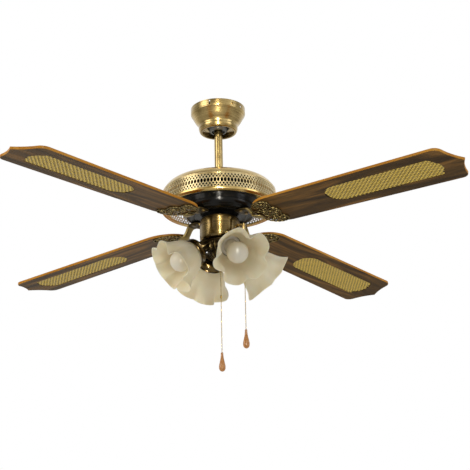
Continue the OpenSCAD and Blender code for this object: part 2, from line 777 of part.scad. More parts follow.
function ruffle(s) = s < 18 ? 0 : pow((s - 18) / (shade_depth - 18), 1.6);
function shade_ring(s, r, n) = [for (j = [0 : n - 1])
    let (a = j * 360 / n, w = cos(ruffles * a) * ruffle(s), d = r + lobe_deep * w)
    [d * cos(a), d * sin(a), s - lobe_long * w]];

// Pressed frosted glass: one closed skin, out along the outside and back along the inside
module shade(i) {
    n = 60;
    inside = [for (p = flip(shade_line)) [p[0], p[1] - shade_wall]];
    line = concat(shade_line, inside);
    m = len(line);
    points = [for (p = line) each shade_ring(p[0], p[1], n)];
    faces = [for (k = [0 : m - 1], j = [0 : n - 1])
        let (a = k * n + j, b = k * n + (j + 1) % n, c = ((k + 1) % m) * n + (j + 1) % n, d = ((k + 1) % m) * n + j)
        each [[a, c, b], [a, d, c]]];
    color("#cfc5ac") on_shade(i) polyhedron(points, faces);
}

// ---- pull chains ----

module speed_chain() {
    color("#b8a060") hanging_tube(speed_route, 38);
}

module light_chain() {
    color("#b8a060") hanging_tube(light_route, 34);
}

module wooden_pull(at) {
    color("#d9944a") translate(at) turned([[0, 0], [2.4, 0], [3, -3], [3.4, -pull_len * 0.2],
        [4.8, -pull_len * 0.4], [6.8, -pull_len * 0.58], [pull_r, -pull_len * 0.74],
        [pull_r * 0.94, -pull_len * 0.86], [pull_r * 0.68, -pull_len * 0.95], [pull_r * 0.3, -pull_len],
        [0, -pull_len]]);
}

module speed_pull() {
    wooden_pull(speed_route[len(speed_route) - 1]);
}

module light_pull() {
    wooden_pull(light_route[len(light_route) - 1]);
}

module chain_connector() {
    color("#c8b070") translate([0, 0, connector_z - 4]) ring(2.3, chain_r + fit, 8);
}

hanger_bracket();
canopy();
canopy_screws();
terminal_block();
hanger_ball();
ball_pin();
downrod();
rod_coupling();
coupling_pin();
coupling_screws();
coupling_cover();
motor_shaft();
stator_core();
stator_windings();
bearing_inner_rings();
bearing_outer_rings();
bearing_balls();
housing_cover();
housing_screws();
vent_band();
trim_ring();
rotor_upper_shell();
rotor_lower_shell();
rotor_cage();
blade_iron(0);  // blade_iron_1
blade_iron(1);  // blade_iron_2
blade_iron(2);  // blade_iron_3
blade_iron(3);  // blade_iron_4
iron_screws();
blade(0);  // blade_1
blade(1);  // blade_2
blade(2);  // blade_3
blade(3);  // blade_4
cane_panels();
blade_screws();
switch_plate();
shaft_nut();
switch_housing();
switch_housing_screws();
capacitor();
speed_switch();
reverse_switch();
reverse_knob();
chain_guide();
light_hub();
light_switch();
finial();
shade_holders();
lampholders();
bulbs();
shade(0);  // shade_1
shade(1);  // shade_2
shade(2);  // shade_3
shade(3);  // shade_4
thumb_screws();
speed_chain();
speed_pull();
light_chain();
chain_connector();
light_pull();
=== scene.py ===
"""A four-blade ceiling fan with a four-shade light kit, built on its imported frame.

Metres, +Z up, z = 0 at the ceiling and x = y = 0 on the fan's axis. Sizes inside each
section are in millimetres and are turned to metres where the mesh is made.
"""
import math

import bmesh
import bpy
from mathutils import Matrix, Vector


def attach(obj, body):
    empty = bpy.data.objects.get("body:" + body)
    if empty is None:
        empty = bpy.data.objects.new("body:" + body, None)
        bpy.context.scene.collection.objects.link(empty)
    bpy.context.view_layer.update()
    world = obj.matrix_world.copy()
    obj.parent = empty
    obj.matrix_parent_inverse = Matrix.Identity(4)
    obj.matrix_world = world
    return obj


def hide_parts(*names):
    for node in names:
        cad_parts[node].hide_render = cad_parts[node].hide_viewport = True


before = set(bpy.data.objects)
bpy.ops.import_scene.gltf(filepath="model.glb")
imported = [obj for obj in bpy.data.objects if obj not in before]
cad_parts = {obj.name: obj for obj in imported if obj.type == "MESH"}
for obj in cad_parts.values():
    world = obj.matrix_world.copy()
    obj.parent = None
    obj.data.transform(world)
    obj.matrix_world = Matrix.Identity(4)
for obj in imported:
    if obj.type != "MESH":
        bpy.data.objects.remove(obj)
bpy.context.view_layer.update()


# ---------------------------------------------------------------- studio
# A plain pale floor well below the fan, a white surround that shades to grey towards the
# floor, one tall narrow lamp beside the camera and a large soft one on each side.

def linear(code):
    """An sRGB hex colour as linear RGBA."""
    parts = [int(code[i:i + 2], 16) / 255 for i in (1, 3, 5)]
    return tuple(c / 12.92 if c <= 0.04045 else ((c + 0.055) / 1.055) ** 2.4 for c in parts) + (1,)


def add(tree, kind, at=None, links=None, **settings):
    """One node with its settings, its fixed inputs (at) and its linked inputs."""
    made = tree.nodes.new(kind)
    for name, value in settings.items():
        setattr(made, name, value)
    for name, value in (at or {}).items():
        made.inputs[name].default_value = value
    for name, socket in (links or {}).items():
        tree.links.new(socket, made.inputs[name])
    return made


def ramp(made, *stops):
    """Sets a colour ramp's stops: (position, hex colour)."""
    band = made.color_ramp
    while len(band.elements) < len(stops):
        band.elements.new(0.5)
    for element, (place, code) in zip(band.elements, stops):
        element.position = place
        element.color = linear(code)
    return made


def blank(name):
    """A new material and its node tree."""
    made = bpy.data.materials.new(name)
    made.use_nodes = True
    return made, made.node_tree


def dress(material, fixed, linked=None):
    """Sets a material's own shader: inputs that are the same all over, and linked inputs."""
    shader = material.node_tree.nodes["Principled BSDF"]
    for name, value in fixed.items():
        shader.inputs[name].default_value = value
    for name, socket in (linked or {}).items():
        material.node_tree.links.new(socket, shader.inputs[name])
    return material


world = bpy.data.worlds.new("pale_studio")
world.use_nodes = True
bpy.context.scene.world = world
sky = world.node_tree
sky.nodes.clear()
towards = add(sky, "ShaderNodeTexCoord")
split = add(sky, "ShaderNodeSeparateXYZ", links={0: towards.outputs["Generated"]})
height = add(sky, "ShaderNodeMapRange", {1: -1.0, 2: 1.0}, {0: split.outputs["Z"]})
shade_by_height = ramp(add(sky, "ShaderNodeValToRGB", links={0: height.outputs[0]}),
    (0.0, "#5c584e"), (0.2, "#6f6b62"), (0.34, "#d8d4ca"), (0.5, "#f4f2ec"), (1.0, "#e4e6ea"))
around = add(sky, "ShaderNodeTexGradient", links={0: towards.outputs["Generated"]},
    gradient_type="RADIAL")
panels = ramp(add(sky, "ShaderNodeValToRGB", links={0: around.outputs["Fac"]}),
    (0.0, "#8a8a8a"), (0.10, "#ffffff"), (0.22, "#5a5a5a"), (0.25, "#505050"), (0.36, "#ffffff"),
    (0.50, "#9a9a9a"), (0.62, "#ffffff"), (0.88, "#ffffff"), (1.0, "#8a8a8a"))
room = add(sky, "ShaderNodeMix", {0: 1.0}, {6: shade_by_height.outputs[0], 7: panels.outputs[0]},
    data_type="RGBA", blend_type="MULTIPLY")
soft = add(sky, "ShaderNodeBackground", {"Strength": 1.05}, {"Color": room.outputs[2]})
white = add(sky, "ShaderNodeBackground", {"Color": linear("#ffffff"), "Strength": 1.0})
seen = add(sky, "ShaderNodeLightPath")
pick = add(sky, "ShaderNodeMixShader", links={0: seen.outputs["Is Camera Ray"], 1: soft.outputs[0],
    2: white.outputs[0]})
add(sky, "ShaderNodeOutputWorld", links={"Surface": pick.outputs[0]})
bpy.context.scene.view_settings.view_transform = "Standard"


def lamp(name, place, aim, width, tall, power, colour, diffuse=True):
    """A rectangular area lamp in metres and watts; without diffuse it only makes highlights."""
    data = bpy.data.lights.new(name, "AREA")
    data.shape = "RECTANGLE"
    data.size, data.size_y, data.energy = width, tall, power
    data.color = linear(colour)[:3]
    made = bpy.data.objects.new(name, data)
    made.location = place
    made.rotation_euler = (Vector(aim) - Vector(place)).to_track_quat("-Z", "Y").to_euler()
    made.visible_diffuse = diffuse
    bpy.context.scene.collection.objects.link(made)


lamp("strip_lamp", (0.0, -3.3, -0.35), (0, 0, -0.3), 0.06, 2.6, 130, "#fff8ea", diffuse=False)
lamp("left_softbox", (-2.6, -1.6, 0.6), (0, 0, -0.3), 1.5, 1.5, 26, "#fffaf2")
lamp("right_softbox", (2.8, -1.2, 0.4), (0, 0, -0.3), 1.2, 1.6, 14, "#f6f8ff")

floor_z, floor_half = -2.6, 9
floor_mesh = bpy.data.meshes.new("floor")
corners = [(x * floor_half, y * floor_half, floor_z) for x, y in ((-1, -1), (1, -1), (1, 1), (-1, 1))]
floor_mesh.from_pydata(corners, [], [(0, 1, 2, 3)])
floor = bpy.data.objects.new("floor", floor_mesh)
bpy.context.scene.collection.objects.link(floor)

# Matt emulsion paint: pale and even, with no gloss
paint = dress(blank("matt_floor_paint")[0], {"Base Color": linear("#e9e7e2"), "Roughness": 0.9})
floor_mesh.materials.append(paint)

# The camera stands low in front of the fan and looks up at it by about 20 degrees
camera_data = bpy.data.cameras.new("camera")
camera_data.sensor_width = 36
camera_data.lens = 102.73
camera_data.clip_end = 50
camera = bpy.data.objects.new("camera", camera_data)
camera.location = (0.0353, -2.9769, -1.4089)
camera.rotation_euler = (Matrix.Rotation(math.radians(109.985), 3, "X")
    @ Matrix.Rotation(math.radians(-1.212), 3, "Z")).to_euler()
bpy.context.scene.collection.objects.link(camera)
bpy.context.scene.camera = camera


# ---------------------------------------------------------------- pull chains
# Two strings of small brass beads crimped on wire. The speed chain drops out of an elbow on
# the switch housing, the light chain out of the finial under the hub, each to a turned pull.

# Sizes are in millimetres, and the frame is in metres
MM = 0.001


def mesh_piece(name, points, faces, finish, body, slot, smooth=40):
    """One object from points in millimetres, shaded smooth up to an angle between faces."""
    mesh = bpy.data.meshes.new(name)
    mesh.from_pydata([tuple(c * MM for c in p) for p in points], [], faces)
    mesh.polygons.foreach_set("use_smooth", [smooth > 0] * len(mesh.polygons))
    if smooth:
        mesh.set_sharp_from_angle(angle=math.radians(smooth))
    for one in finish if isinstance(finish, (list, tuple)) else [finish]:
        mesh.materials.append(one)
    made = bpy.data.objects.new(name, mesh)
    bpy.context.scene.collection.objects.link(made)
    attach(made, body)
    return made


def lathe_mesh(profile, steps=96, closed=True):
    """Points and faces of a (radius, height) profile turned about Z; a closed one is a ring."""
    points, faces, rows = [], [], []
    for r, z in profile:
        if r < 0.01:
            rows.append([len(points)])
            points.append((0, 0, z))
        else:
            rows.append(list(range(len(points), len(points) + steps)))
            points += [(r * math.cos(2 * math.pi * j / steps), r * math.sin(2 * math.pi * j / steps), z)
                for j in range(steps)]
    pairs = list(zip(rows, rows[1:])) + ([(rows[-1], rows[0])] if closed else [])
    for a, b in pairs:
        for j in range(steps):
            k = (j + 1) % steps
            quad = [a[j % len(a)], a[k % len(a)], b[k % len(b)], b[j % len(b)]]
            quad = [v for i, v in enumerate(quad) if v not in quad[:i]]
            if len(quad) > 2:
                faces.append(quad)
    return points, faces


def eased(profile, r=0.8, steps=3):
    """The profile with each inner corner rounded off to about radius r."""
    out = [profile[0]]
    for a, b, c in zip(profile, profile[1:], profile[2:]):
        ab, cb = math.dist(a, b), math.dist(c, b)
        t = min(r, ab * 0.45, cb * 0.45)
        p = [b[i] + (a[i] - b[i]) * t / ab for i in (0, 1)]
        q = [b[i] + (c[i] - b[i]) * t / cb for i in (0, 1)]
        out += [tuple(p[i] * (1 - s) ** 2 + b[i] * 2 * s * (1 - s) + q[i] * s * s for i in (0, 1))
            for s in (k / steps for k in range(steps + 1))]
    return out + [profile[-1]]


def metal(name, light, dark, grain_mm, rough, patch=0.5, coat=0.0):
    """A lacquered or plated metal: two tones in soft patches over fine turning lines."""
    made, tree = blank(name)
    where = add(tree, "ShaderNodeTexCoord")
    stretch = add(tree, "ShaderNodeMapping", {"Scale": (14, 14, 1000 / grain_mm)},
        {0: where.outputs["Object"]})
    lines = add(tree, "ShaderNodeTexNoise", {"Scale": 1.0, "Detail": 3.0}, {0: stretch.outputs[0]})
    cloud = add(tree, "ShaderNodeTexNoise", {"Scale": 38.0, "Detail": 5.0, "Roughness": 0.62},
        {0: where.outputs["Object"]})
    both = add(tree, "ShaderNodeMix", {0: patch}, {2: lines.outputs[0], 3: cloud.outputs[0]})
    tone = ramp(add(tree, "ShaderNodeValToRGB", links={0: both.outputs[0]}), (0.36, dark), (0.62, light))
    gloss = add(tree, "ShaderNodeMapRange", {3: rough * 0.8, 4: rough * 1.3}, {0: both.outputs[0]})
    ridges = add(tree, "ShaderNodeBump", {"Strength": 0.12, "Distance": 0.00012},
        {"Height": lines.outputs[0]})
    return dress(made, {"Metallic": 1.0, "Coat Weight": coat, "Coat Roughness": 0.12},
        {"Base Color": tone.outputs[0], "Roughness": gloss.outputs[0], "Normal": ridges.outputs[0]})


# Bright brass wire and beads: small, nearly polished, with a darker tone between the beads
bead_brass = metal("bead_chain_brass_rolled", "#dcc27a", "#a88445", 0.3, 0.22)
bead_r, bead_gap, wire_r = 1.2, 3.0, 0.5


def bead_chain(name, route, body, slot_name):
    """Beads every bead_gap down the straight route, with the crimped wire between them."""
    top = Vector(route[0])
    total = sum(math.dist(a, b) for a, b in zip(route, route[1:]))
    count = int(total / bead_gap)
    profile = [(0.0, 0.0)]
    for i in range(count):
        middle = (i + 0.5) * total / count
        profile.append((wire_r, middle - bead_gap / 2 + 0.001))
        for turn in (math.pi * k / 6 for k in range(1, 6)):
            profile.append((max(wire_r, bead_r * math.sin(turn)), middle - bead_r * math.cos(turn)))
    points, faces = lathe_mesh(profile + [(wire_r, total), (0.0, total)], 10, closed=False)
    points = [(top.x + x, top.y + y, top.z - z) for x, y, z in points]
    return mesh_piece(name, points, [f[::-1] for f in faces], bead_brass, body, slot_name)


# Turned beech pulls: an acorn-like drop with a collar and two cut rings, lacquered orange-brown
wood_pull, tree = blank("beech_turned_lacquered")
where = add(tree, "ShaderNodeTexCoord")
along = add(tree, "ShaderNodeMapping", {"Scale": (900, 900, 60)}, {0: where.outputs["Object"]})
grain = add(tree, "ShaderNodeTexNoise", {"Scale": 1.0, "Detail": 4.0}, {0: along.outputs[0]})
tone = ramp(add(tree, "ShaderNodeValToRGB", links={0: grain.outputs[0]}), (0.3, "#b8702e"), (0.7, "#e6a358"))
dress(wood_pull, {"Roughness": 0.34, "Coat Weight": 0.5, "Coat Roughness": 0.1},
    {"Base Color": tone.outputs[0]})


def turned_pull(name, top, body):
    """A pull hung by its top, turned to one outline."""
    shape = [(0, 0.0), (2.1, -0.1), (2.5, -0.7), (2.6, -1.8), (3.1, -2.6), (3.1, -3.4), (2.7, -4.2),
        (2.9, -6), (3.3, -9), (3.6, -11.6), (3.3, -12.1), (3.3, -12.6), (3.8, -13.1), (4.5, -17),
        (5.6, -22), (6.8, -27), (7.6, -31.4), (7.8, -33.4), (7.5, -33.9), (7.5, -34.4), (7.75, -34.9),
        (7.4, -38), (6.2, -41), (4.4, -43), (2.2, -44.2), (0, -44.5)]
    points, faces = lathe_mesh(shape, 40, closed=False)
    x, y, z = top
    return mesh_piece(name, [(x + a, y + b, z + c) for a, b, c in points], [f[::-1] for f in faces],
        wood_pull, body, "turned_wood", 35)


speed_route = [(56, -23, -309), (56, -23, -394), (56, -23, -480), (56, -23, -565)]
light_route = [(0, 0, -383), (0, 0, -460), (0, 0, -536), (0, 0, -612)]
speed_pull = turned_pull("speed_pull_wood", speed_route[-1], "speed_pull_chain")
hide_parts("speed_pull")
light_pull = turned_pull("light_pull_wood", light_route[-1], "light_pull_chain")
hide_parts("light_pull")

# Bell-shaped connector that joins the light's short chain to its longer tail
shape = eased([(1.25, -475), (1.9, -475), (2.3, -476), (2.3, -482), (1.7, -483), (1.25, -483)], 0.4)
connector = mesh_piece("chain_bell", *lathe_mesh(shape, 24), bead_brass, "light_pull_chain", "chain_brass")
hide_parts("chain_connector")

for name, route, body, others in (("speed_beads", speed_route, "speed_pull_chain", [speed_pull]),
        ("light_beads", light_route, "light_pull_chain", [connector, light_pull])):
    chain = bead_chain(name, route, body, "chain_brass")
    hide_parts("speed_chain" if name == "speed_beads" else "light_chain")


# ---------------------------------------------------------------- ceiling bracket and ball
# A zinc-plated pressed plate screwed to the ceiling, with two straps and a seat for the
# moulded ball that the rod hangs from; a three-way terminal block sits beside it.

# Zinc plating: pale grey with a faint crystalline mottle and soft gloss
zinc = metal("steel_zinc_plated", "#8f908c", "#666866", 2.0, 0.36, 0.8)


def plastic(name, colour, rough, grain_mm=0.6):
    """Injection-moulded plastic with a faint spark-eroded texture."""
    made, tree = blank(name)
    where = add(tree, "ShaderNodeTexCoord")
    grain = add(tree, "ShaderNodeTexNoise", {"Scale": 1000 / grain_mm, "Detail": 2.0},
        {0: where.outputs["Object"]})
    gloss = add(tree, "ShaderNodeMapRange", {3: rough * 0.85, 4: rough * 1.2}, {0: grain.outputs[0]})
    bump = add(tree, "ShaderNodeBump", {"Strength": 0.2, "Distance": 0.0001}, {"Height": grain.outputs[0]})
    return dress(made, {"Base Color": linear(colour)},
        {"Roughness": gloss.outputs[0], "Normal": bump.outputs[0]})


def finish_cad(finish, *names):
    """Gives carried-over CAD nodes their finish."""
    for name in names:
        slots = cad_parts[name].data.materials
        slots.clear()
        slots.append(finish)


# Moulded nylon: black, with the satin of the mould
black_nylon = plastic("nylon_black_moulded", "#1b1b1b", 0.45)
# Moulded urea: cream, harder and a little glossier
cream_urea = plastic("urea_cream_moulded", "#dcd6c6", 0.4)
finish_cad(zinc, "hanger_bracket", "ball_pin", "coupling_pin", "coupling_screws", "housing_screws",
    "shaft_nut")
finish_cad(black_nylon, "hanger_ball", "capacitor", "reverse_switch", "reverse_knob")
finish_cad(cream_urea, "terminal_block", "speed_switch", "light_switch")


# ---------------------------------------------------------------- canopy and downrod
# The canopy is a bell spun from thin steel, brass plated, toned and lacquered, held to the
# bracket by two side screws; the downrod is plated tube.

# Antique brass: warm yellow under lacquer, toned darker in soft patches, fine turning lines
antique = metal("brass_antique_spun_lacquered", "#cbb277", "#8c7440", 0.8, 0.25, 0.4, coat=0.4)
sheet = 1.2


def offset_in(profile, t):
    """The profile moved by t to its left, which is inwards where it runs downwards."""
    out = []
    for i, p in enumerate(profile):
        a, b = profile[max(i - 1, 0)], profile[min(i + 1, len(profile) - 1)]
        d = math.dist(a, b) or 1
        out.append((p[0] + t * (b[1] - a[1]) / d, p[1] - t * (b[0] - a[0]) / d))
    return out


def spun(name, profile, finish, body, slot, t=sheet, steps=144, ease=0.9):
    """A spun sheet-metal shell from its outside profile, with both faces and turned rims."""
    outside = eased(profile, ease)
    return mesh_piece(name, *lathe_mesh(outside + offset_in(outside, t)[::-1], steps), finish, body, slot)


def cut(piece, *tools):
    """Cuts shapes out of a piece and keeps its smooth shading."""
    for tool in tools:
        bite = piece.modifiers.new("bite", "BOOLEAN")
        bite.operation, bite.solver, bite.object = "DIFFERENCE", "EXACT", tool
    bpy.context.view_layer.update()
    whole = bpy.data.meshes.new_from_object(piece.evaluated_get(bpy.context.evaluated_depsgraph_get()))
    piece.modifiers.clear()
    piece.data = whole
    whole.set_sharp_from_angle(angle=math.radians(35))
    for tool in tools:
        bpy.data.objects.remove(tool)


def tool_block(shape, depth, azimuth, at_r, at_z):
    """A cutting prism: a flat outline (across, up) pushed outwards through a wall."""
    n = len(shape)
    points = [(at_r + s * depth / 2, a, b) for s in (-1, 1) for a, b in shape]
    faces = [list(range(n))[::-1], list(range(n, 2 * n))]
    faces += [(i, (i + 1) % n, n + (i + 1) % n, n + i) for i in range(n)]
    mesh = bpy.data.meshes.new("tool")
    mesh.from_pydata([tuple(c * MM for c in p) for p in points], [], faces)
    mesh.transform(Matrix.Rotation(math.radians(azimuth), 4, "Z") @ Matrix.Translation((0, 0, at_z * MM)))
    made = bpy.data.objects.new("tool", mesh)
    bpy.context.scene.collection.objects.link(made)
    return made


def disc(r, n=16):
    """A round outline."""
    return [(r * math.cos(2 * math.pi * i / n), r * math.sin(2 * math.pi * i / n)) for i in range(n)]


canopy_line = [(66, 0), (66, -14), (65.2, -15.2), (65.2, -16.4), (64.2, -17.6), (62.5, -20.5), (59.5, -26),
    (56.5, -31.5), (53, -36.5), (49.8, -40.5), (47.8, -44), (47, -47.5), (47.3, -50.5), (46.8, -54),
    (45.4, -58), (44, -60.5), (41.5, -61.5), (38.5, -61.1)]
canopy = spun("canopy_bell", canopy_line, antique, "ceiling_mount", "antique_brass")
slot_shape = [(-1.6, -5.5), (1.6, -5.5), (1.6, 5.5), (-1.6, 5.5)]
holes = []
for turn in (0, 180):
    holes.append(tool_block(disc(2.0), 8, -55 + turn, 66, -8.5))
    holes.append(tool_block(disc(2.4), 8, -33 + turn, 66, -9.5))
    holes.append(tool_block(slot_shape, 8, -107 + turn, 66, -8))
cut(canopy, *holes)
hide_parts("canopy")
finish_cad(antique, "downrod", "coupling_cover")
# Screw heads rubbed bright by the screwdriver
rubbed = metal("brass_screw_rubbed", "#cdb57c", "#8c7140", 0.4, 0.3, 0.6)
finish_cad(rubbed, "canopy_screws", "switch_housing_screws", "chain_guide")


# ---------------------------------------------------------------- motor housing
# A spun dome, a side band pierced with rows of pointed openings, and a turned trim ring, all
# brass plated steel; the dome is clamped under the rod's coupling.

# Same brass drawn brighter on the dome, the trim ring and the band's beads, as painted reflection
bright = metal("brass_ring_painted_reflection", "#ecd08a", "#b4924c", 0.8, 0.2, 0.4, coat=0.5)
dome_line = [(8.6, -193), (30, -193.1), (60, -193.6), (84, -194.8), (100, -196.5), (110, -198.3),
    (118, -200.6), (124.2, -204.6), (128.4, -209), (131.2, -213), (133.2, -216.2), (134.6, -218.4)]
dome = spun("housing_dome", dome_line, bright, "hanging", "antique_brass", ease=3)
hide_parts("housing_cover")

ring_line = [(138.0, -255.5), (139.4, -256.6), (139.4, -260.9), (138.6, -262.4), (136.8, -262.9),
    (135.4, -262.1), (134.6, -260.9), (133.2, -261.6), (130.8, -263), (128.2, -263.4), (126.4, -262.4),
    (125.8, -260.6)]
trim = spun("housing_trim", ring_line, bright, "hanging", "antique_brass", ease=0.9)
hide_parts("trim_ring")

# Pale cream brass of the pierced band
band_brass = metal("brass_pierced_pale", "#efdfb0", "#c4aa70", 0.8, 0.28, 0.3, coat=0.4)
band_top, band_bottom, band_wall = -218.6, -257.5, 1.3
band_r, band_flare = 134.4, 3.0
columns = 108
pitch = 360 / columns


def band_point(across_deg, z, depth):
    """A place on the band: degrees round it, its height, and the depth into the wall."""
    r = band_r + (band_top - z) / (band_top - band_bottom) * band_flare - depth
    a = math.radians(across_deg)
    return (r * math.cos(a), r * math.sin(a), z)


def pierced_cell():
    """Flat outlines of one pitch of the band: its border, notched by half openings, and holes."""
    def flank(side):
        """One edge of the cell, from top to bottom, with its two half openings."""
        line = [(side, band_top)]
        for z, w, t in ((-230.0, 1.2, 3.3), (-247.4, 1.2, 3.3)):
            shoulder, point = (side - math.copysign(c, side) for c in (w * 0.62, w))
            line += [(side, z + t), (shoulder, z + t * 0.45), (point, z), (shoulder, z - t * 0.45),
                (side, z - t)]
        return line + [(side, band_bottom)]

    def eye(z, w, t):
        """A pointed opening round a height, by its half-width and half-height."""
        return [(0, z + t), (w * 0.62, z + t * 0.45), (w, z), (w * 0.62, z - t * 0.45), (0, z - t),
            (-w * 0.62, z - t * 0.45), (-w, z), (-w * 0.62, z + t * 0.45)]

    tall = [(0, -232.4), (0.85, -234.6), (1.3, -237.0), (1.3, -240.4), (0.85, -242.8), (0, -245.0),
        (-0.85, -242.8), (-1.3, -240.4), (-1.3, -237.0), (-0.85, -234.6)]
    return flank(pitch / 2) + flank(-pitch / 2)[::-1], [tall, eye(-225.0, 1.15, 2.7), eye(-252.4, 1.15, 2.7)]


def pierced_band():
    """The flat cell, filled and repeated round the band, with both skins and the walls of its holes."""
    border, holes = pierced_cell()
    flat_cell = bmesh.new()
    edges = []
    for loop in [border, *holes]:
        ring = [flat_cell.verts.new((x, z, 0)) for x, z in loop]
        edges += [flat_cell.edges.new((a, b)) for a, b in zip(ring, ring[1:] + ring[:1])]
    bmesh.ops.triangle_fill(flat_cell, edges=edges, use_beauty=True)
    flat_cell.verts.index_update()
    flat = [(v.co.x, v.co.y) for v in flat_cell.verts]
    tris = [[v.index for v in f.verts] for f in flat_cell.faces]
    rims = [[v.index for v in e.verts] for e in flat_cell.edges if len(e.link_faces) == 1]
    flat_cell.free()
    # The next cell closes a rim that runs along one side of the border, so it gets no wall
    at_side = [math.copysign(1, x) if abs(abs(x) - pitch / 2) < 1e-4 else 0 for x, _ in flat]
    points, faces, n = [], [], len(flat)
    for k in range(columns):
        base = len(points)
        for depth in (0.0, band_wall):
            points += [band_point(x + k * pitch, z, depth) for x, z in flat]
        faces += [[base + v for v in t] for t in tris] + [[base + n + v for v in t[::-1]] for t in tris]
        faces += [[base + a, base + b, base + n + b, base + n + a] for a, b in rims
            if at_side[a] * at_side[b] != 1]
    return points, faces


band = mesh_piece("housing_pierced_band", *pierced_band(), band_brass, "hanging", "antique_brass", 30)
tidy = bmesh.new()
tidy.from_mesh(band.data)
bmesh.ops.remove_doubles(tidy, verts=tidy.verts, dist=0.00002)
bmesh.ops.recalc_face_normals(tidy, faces=tidy.faces)
tidy.to_mesh(band.data)
tidy.free()
band.data.set_sharp_from_angle(angle=math.radians(30))
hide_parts("vent_band")
# Thin turned beads that stiffen the band's two edges
for name, r, z in (("band_bead_upper", 134.5, -220.6), ("band_bead_lower", 137.5, -255.9)):
    bead = [(r - 0.3 + 0.75 * math.cos(t), z + 0.75 * math.sin(t)) for t in
        (2 * math.pi * k / 10 for k in range(10))]
    mesh_piece(name, *lathe_mesh(bead, 144), bright, "hanging", "antique_brass")


# ---------------------------------------------------------------- motor
# Two cast shells in near-black enamel turn on sealed bearings round a fixed wound stator and
# a hollow shaft; only the shells show, through the band and from below.

# Stoving enamel over a sand casting: almost black, fairly glossy, slightly uneven
enamel = dress(plastic("enamel_black_stoved", "#0f0e0b", 0.2, 2.5),
    {"Specular IOR Level": 0.22, "Coat Weight": 0.1})
# Turned steel, ground bearing steel, and the brown enamel of the winding wire
steel = metal("steel_turned_bare", "#8d8c89", "#5f5e5b", 0.5, 0.36, 0.5)
ground = metal("steel_ground_polished", "#d2d3d4", "#a9abad", 0.3, 0.16, 0.3)
copper = metal("copper_wire_enamelled", "#b3622f", "#7c3a18", 0.9, 0.38, 0.2)
finish_cad(enamel, "rotor_upper_shell", "rotor_lower_shell")
finish_cad(steel, "motor_shaft", "rod_coupling", "stator_core", "rotor_cage")
finish_cad(ground, "bearing_inner_rings", "bearing_outer_rings", "bearing_balls")
finish_cad(copper, "stator_windings")

# Lower shell with a ribbed bowl, so that its underside has the turned steps of the real one
bowl_line = [(94, -247.6), (94, -249.9), (91.2, -250.4), (91, -263), (89.6, -269.5), (86.6, -274.6),
    (84.2, -276.2), (83.2, -276.0), (82.2, -277.6), (79, -280.2), (76, -281), (64, -281), (63, -280.2),
    (61.6, -280.2), (60.6, -281), (40, -281), (12.6, -281)]
inner = [(12.6, -278), (77, -278), (81.2, -276.6), (85, -272.2), (88, -263), (88, -247.6)]
bowl = mesh_piece("motor_bowl", *lathe_mesh(eased(bowl_line, 0.9) + inner, 144), enamel, "rotor",
    "dark_motor")
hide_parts("rotor_lower_shell")


# ---------------------------------------------------------------- blades
# Four boards of veneered fibreboard: walnut below, oak above, an oak band glued round the
# edge, with a cane-filled recess in the underside. Each is screwed to a cast iron from below.

blade_az, blade_pitch, blade_droop = -38.6, 6.9, 1.9
# The board turns and droops about this place on its length, at this height
station, blade_z = 634.0, -317.0
board, recess_deep = 6.0, 1.8


def blade_place(i):
    """From a blade's length, width and height to the frame, both in millimetres."""
    turn = Matrix.Rotation(math.radians(blade_az + 90 * i), 4, "Z")
    return (turn @ Matrix.Translation((station, 0, blade_z))
        @ Matrix.Rotation(math.radians(blade_droop), 4, "Y")
        @ Matrix.Rotation(math.radians(-blade_pitch), 4, "X") @ Matrix.Translation((-station, 0, 0)))


def veneer(name, pale, mid, dark, figure, rough):
    """Sliced veneer, lacquered: long figure, fine pores, along the board's own length (UV)."""
    made, tree = blank(name)
    board_uv = add(tree, "ShaderNodeUVMap", uv_map="board")
    slow = add(tree, "ShaderNodeMapping", {"Scale": (2.4, 24, 1)}, {0: board_uv.outputs[0]})
    waves = add(tree, "ShaderNodeTexNoise", {"Scale": 1.0, "Detail": 3.0, "Distortion": 2.2},
        {0: slow.outputs[0]})
    fine = add(tree, "ShaderNodeMapping", {"Scale": (22, 620, 1)}, {0: board_uv.outputs[0]})
    pores = add(tree, "ShaderNodeTexNoise", {"Scale": 1.0, "Detail": 4.0, "Roughness": 0.7},
        {0: fine.outputs[0]})
    both = add(tree, "ShaderNodeMix", {0: figure}, {2: waves.outputs[0], 3: pores.outputs[0]})
    tone = ramp(add(tree, "ShaderNodeValToRGB", links={0: both.outputs[0]}),
        (0.33, dark), (0.5, mid), (0.66, pale))
    gloss = add(tree, "ShaderNodeMapRange", {3: rough * 0.9, 4: rough * 1.25}, {0: pores.outputs[0]})
    relief = add(tree, "ShaderNodeBump", {"Strength": 0.25, "Distance": 0.00008},
        {"Height": pores.outputs[0]})
    return dress(made, {"Specular IOR Level": 0.1},
        {"Base Color": tone.outputs[0], "Roughness": gloss.outputs[0], "Normal": relief.outputs[0]})


# Satin walnut with dark streaks, and honey-coloured oak with closer figure and a little more gloss
walnut = veneer("walnut_veneer_satin", "#8e652e", "#573e19", "#211404", 0.35, 0.44)
oak = veneer("oak_veneer_satin", "#e2a848", "#cc8a2c", "#9a6018", 0.5, 0.36)


def arc(cx, cy, rx, ry, a0, a1, n):
    """n + 1 points on an ellipse's arc, from a0 to a1 degrees."""
    return [(cx + rx * math.cos(math.radians(a0 + (a1 - a0) * k / n)),
        cy + ry * math.sin(math.radians(a0 + (a1 - a0) * k / n))) for k in range(n + 1)]


def curve3(a, b, c, n):
    """n + 1 points on the curve from a to c that leans towards b."""
    return [tuple(a[i] * (1 - t) ** 2 + b[i] * 2 * t * (1 - t) + c[i] * t * t for i in (0, 1))
        for t in (k / n for k in range(n + 1))]


